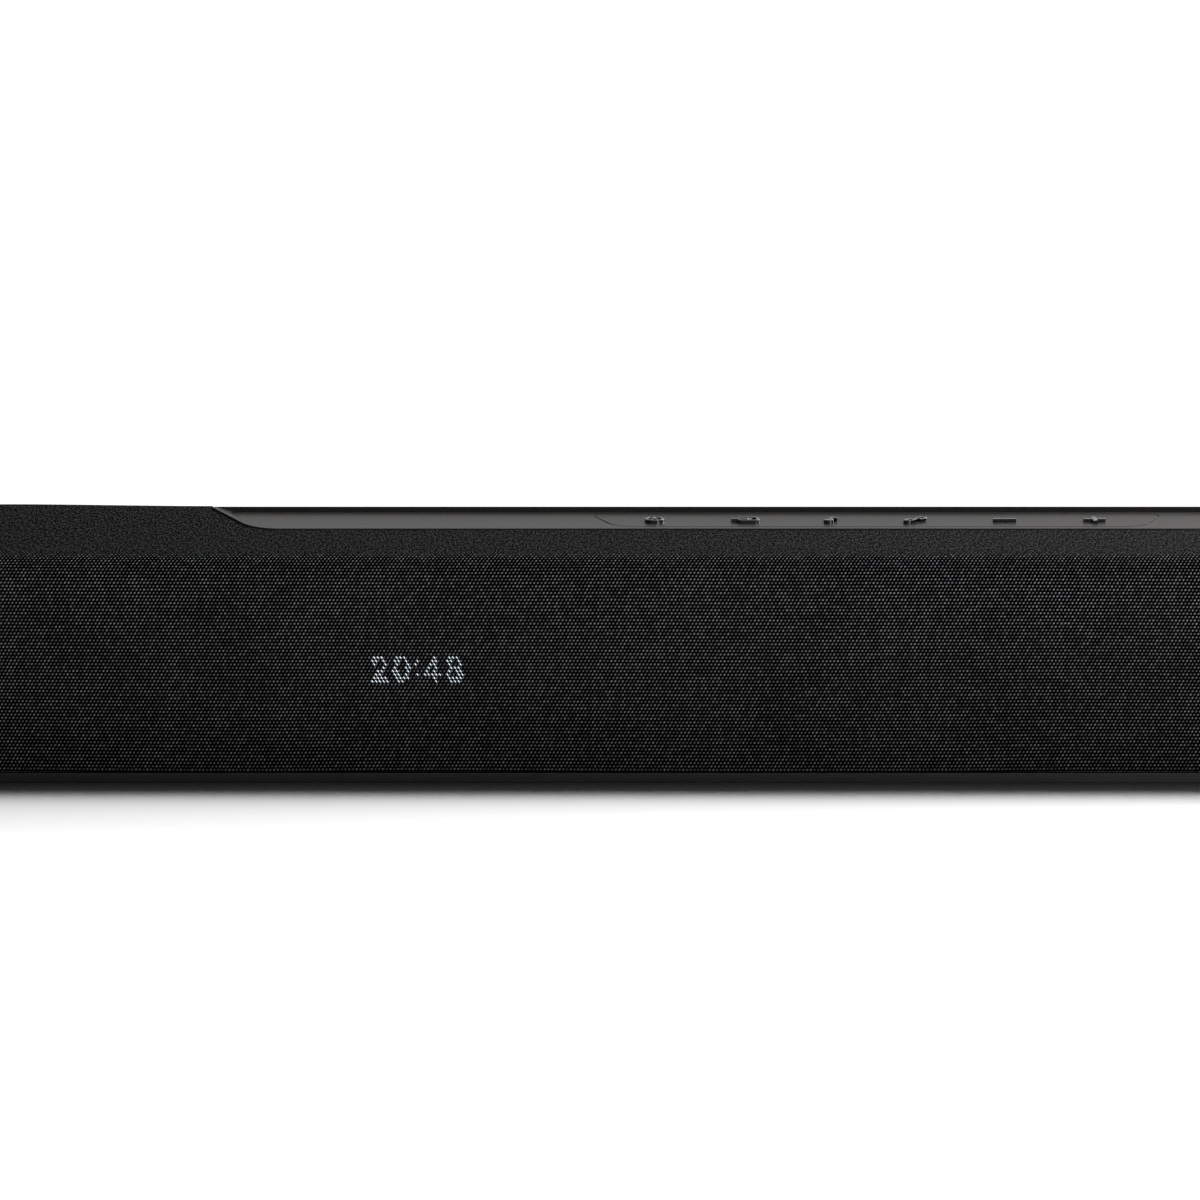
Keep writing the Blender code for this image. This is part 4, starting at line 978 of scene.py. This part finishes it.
def key_shapes(grow):
    """Each key's plate, grown by a margin, and its raised outlines, about the key's own middle."""
    def plate(width, height, radius, turn=0.0):
        corner = radius + grow if radius else 0.0
        return rectangle(width + 2 * grow, height + 2 * grow, corner, turn=turn)

    return {
        "power": (circle(2.5 * MM + grow), power_symbol()),
        "source": (plate(7 * MM, 4.6 * MM, 1 * MM), source_symbol()),
        "music": (plate(3.9 * MM, 5.2 * MM, 0.9 * MM), music_symbol()),
        "link": (plate(7.3 * MM, 2.5 * MM, 1.1 * MM, LINK_LEAN), link_symbol()),
        "volume_down": (plate(5.8 * MM, 1.4 * MM, 0.0), [rectangle(5.6 * MM, 1.1 * MM, 0.12 * MM)]),
        "volume_up": (plus_outline(5.5 * MM, 5.3 * MM, 1.4 * MM, grow), [plus_outline(5.3 * MM, 5.1 * MM, 1.1 * MM)]),
    }


def merge(pieces, name):
    """Several solids as one mesh."""
    shape = bmesh.new()
    for piece in pieces:
        shape.from_mesh(piece.data)
    mesh = mesh_of(shape, name)
    for piece in pieces:
        bpy.data.objects.remove(piece, do_unlink=True)
    return mesh


def make_strip_and_keys(paint, top, side):
    holes = []
    for name, (outline, _) in key_shapes(KEY_GAP).items():
        holes.append([Vector(point) + Vector((KEY_CENTRES[name], 0)) for point in outline])
    strip = extruded("key_strip_plate", [strip_outline()] + holes, -PANEL_THICKNESS, 0, [paint], STRIP_EDGE)
    strip.data.transform(PANEL_FRAME)
    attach(strip, CASE)
    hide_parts("key_strip")
    for name, (outline, raised) in key_shapes(0.0).items():
        plate = extruded("plate", [outline], -PANEL_THICKNESS, 0, [], PLATE_EDGE)
        solids = [extruded("symbol", [line], KEY_ROOT, KEY_RISE, [], SYMBOL_EDGE) for line in raised]
        plate_faces = len(plate.data.polygons)
        mesh = merge([plate] + solids, f"button_{name}_cap")
        # the plate is painted like the strip; a symbol has a bright top, and its sides take painted shade
        for polygon in mesh.polygons:
            if polygon.index < plate_faces:
                polygon.material_index = 0
            elif polygon.normal.z > BRIGHT_TOP:
                polygon.material_index = 1
            else:
                polygon.material_index = 2
        mesh.transform(PANEL_FRAME @ Matrix.Translation((KEY_CENTRES[name], 0, 0)))
        cap = link(mesh.name, mesh, [paint, top, side])
        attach(cap, f"button_{name}")
        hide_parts(f"key_{name}")


# ---------------------------------------------------------------- readout

# Each digit's centre lines, in a box 1 wide and 1 tall
DIGIT_LINES = {
    "0": [arc((0.5, 0.5), 0, 360, (0.5, 0.5))],
    "2": [arc((0.46, 0.3), 170, -35, (0.5, 0.7)) + [(0.0, 0.0), (1.0, 0.0)]],
    "4": [[(0.72, 0.0), (0.72, 1.0), (0.0, 0.28), (1.0, 0.28)]],
    "8": [arc((0.5, 0.26), 0, 360, (0.5, 0.26)), arc((0.42, 0.24), 0, 360, (0.5, 0.76))],
}


def readout_points():
    """Points along every stroke of the readout, as (x, z)."""
    points = []
    cursor = READOUT_LEFT
    for sign in READOUT:
        if sign == ":":
            for level in COLON_LEVELS:
                points.append(Vector((cursor + COLON_WIDE / 2, READOUT_LOW + READOUT_TALL * level)))
            cursor += COLON_WIDE + DIGIT_SPACE
            continue
        for line in DIGIT_LINES[sign]:
            placed = []
            for x, z in line:
                placed.append(Vector((
                    cursor + STROKE_HALF + x * (DIGIT_WIDE - 2 * STROKE_HALF),
                    READOUT_LOW + STROKE_HALF + z * (READOUT_TALL - 2 * STROKE_HALF),
                )))
            for start, end in zip(placed, placed[1:]):
                steps = max(1, round((end - start).length / STROKE_STEP))
                points.extend(start.lerp(end, number / steps) for number in range(steps + 1))
        cursor += DIGIT_WIDE + DIGIT_SPACE
    return points


def make_readout(material):
    """The lit strokes, as they show through the holes between the knots of the cloth."""
    points = readout_points()
    low_row = math.floor((READOUT_LOW - 1 * MM) / WEAVE_ROW)
    high_row = math.ceil((READOUT_LOW + READOUT_TALL + 1 * MM) / WEAVE_ROW)
    low_column = math.floor((READOUT_LEFT - 2 * MM) / WEAVE_PITCH)
    high_column = low_column + math.ceil(READOUT_WIDE / WEAVE_PITCH)
    lean = Matrix.Rotation(DASH_LEAN, 3, "Y")
    dash = []
    for number in range(DASH_SIDES):
        turn = math.tau * number / DASH_SIDES
        dash.append(lean @ Vector((DASH_WIDTH / 2 * math.cos(turn), 0, -DASH_LENGTH / 2 * math.sin(turn))))
    shape = bmesh.new()
    for row in range(low_row, high_row):
        for column in range(low_column, high_column):
            x = (column + 0.5 * (row % 2)) * WEAVE_PITCH
            z = row * WEAVE_ROW
            here = Vector((x, z))
            if min((here - point).length for point in points) > STROKE_HALF:
                continue
            rear, front = (
                [shape.verts.new((x + spot.x, y, z + spot.z)) for spot in dash] for y in (DASH_REAR, DASH_FRONT)
            )
            for index in range(DASH_SIDES):
                after = (index + 1) % DASH_SIDES
                shape.faces.new((rear[index], rear[after], front[after], front[index]))
            shape.faces.new(front)
            shape.faces.new(rear)
    bmesh.ops.recalc_face_normals(shape, faces=shape.faces)
    readout = link("readout_light", mesh_of(shape, "readout_light"), [material])
    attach(readout, CASE)


# ---------------------------------------------------------------- case

def cap_section(inset):
    """An end cap's outline as (depth, height), drawn in from its full size."""
    low = BASE_LOW.z + inset
    high = TOP_HIGH.z - inset
    back = DEPTH - inset
    drop = inset / math.cos(FACET_SLOPE)
    ridge = CAP_RIDGE - inset
    return rounded([
        (inset, low, CAP_CORNER),
        (inset, facet_height(inset) - drop, CREASE_RADIUS - inset),
        (ridge, facet_height(ridge) - drop, CAP_CORNER),
        (RIDGE_DEPTH + CAP_CORNER, high, CAP_CORNER),
        (back, high, CAP_CORNER),
        (back, low, CAP_CORNER),
    ], pieces=CAP_PIECES)


def make_end_caps(material):
    """A shell at each end: an inner face with a small chamfer, and a round to the outer face."""
    width = CAP_HIGH.x - CAP_LOW.x
    stations = [(0.0, CAP_INNER_EDGE), (CAP_INNER_EDGE, 0.0)]
    for degrees in CAP_ROUND_TURNS:
        turn = math.radians(degrees)
        stations.append((width - CAP_ROUND * (1 - math.sin(turn)), CAP_ROUND * (1 - math.cos(turn))))
    for side, name in ((-1, "end_cap_left"), (1, "end_cap_right")):
        inner = side * (-CAP_LOW.x - width)
        loops = [[(inner + side * along, FRONT + p.x, p.y) for p in cap_section(inset)] for along, inset in stations]
        cap = lofted(f"{name}_shell", loops, [material])
        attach(cap, CASE)
        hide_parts(name)


def paint(node, material):
    slots = frame["nodes"][node].material_slots
    if not slots:
        frame["nodes"][node].data.materials.append(material)
    for holder in slots:
        holder.material = material


def paint_carried_nodes():
    """Materials for the nodes that keep their CAD mesh, by the record's slots. Returns the case's plastic."""
    by_slot = {slot: moulded_material(name, colour, roughness) for name, slot, colour, roughness in MOULDED}
    for name, slots, *looks in SPECKLED:
        material = speckled_material(name, *looks)
        by_slot.update((slot, material) for slot in slots)
    slot_of = {part["node"]: part["material_slot"] for part in frame["record"]["subparts"]}
    for node in frame["nodes"]:
        if slot_of[node] in by_slot:
            paint(node, by_slot[slot_of[node]])
    return by_slot["case"]


make_camera()
make_floor()
make_world()
make_lamp("key_soft", location=(0.6, 0.43, 0.68), aim=(0, -0.1, 0), size=(0.5, 0.6), power=22)
make_lamp("front_fill", location=(0.9, -1.0, 0.055), aim=(0, -0.05, 0.04), size=(0.6, 0.1), power=6.5)
bpy.context.scene.view_settings.view_transform = "Standard"

case_plastic = paint_carried_nodes()
panel_paint = panel_material()
make_cloth(cloth_material(), hem_material())
make_tray(panel_paint)
make_strip_and_keys(panel_paint, key_top_material(), key_side_shade_material())
make_readout(lit_material())
make_end_caps(case_plastic)
for node, width in COVER_EDGES.items():
    round_edges(frame["nodes"][node], width, 40)
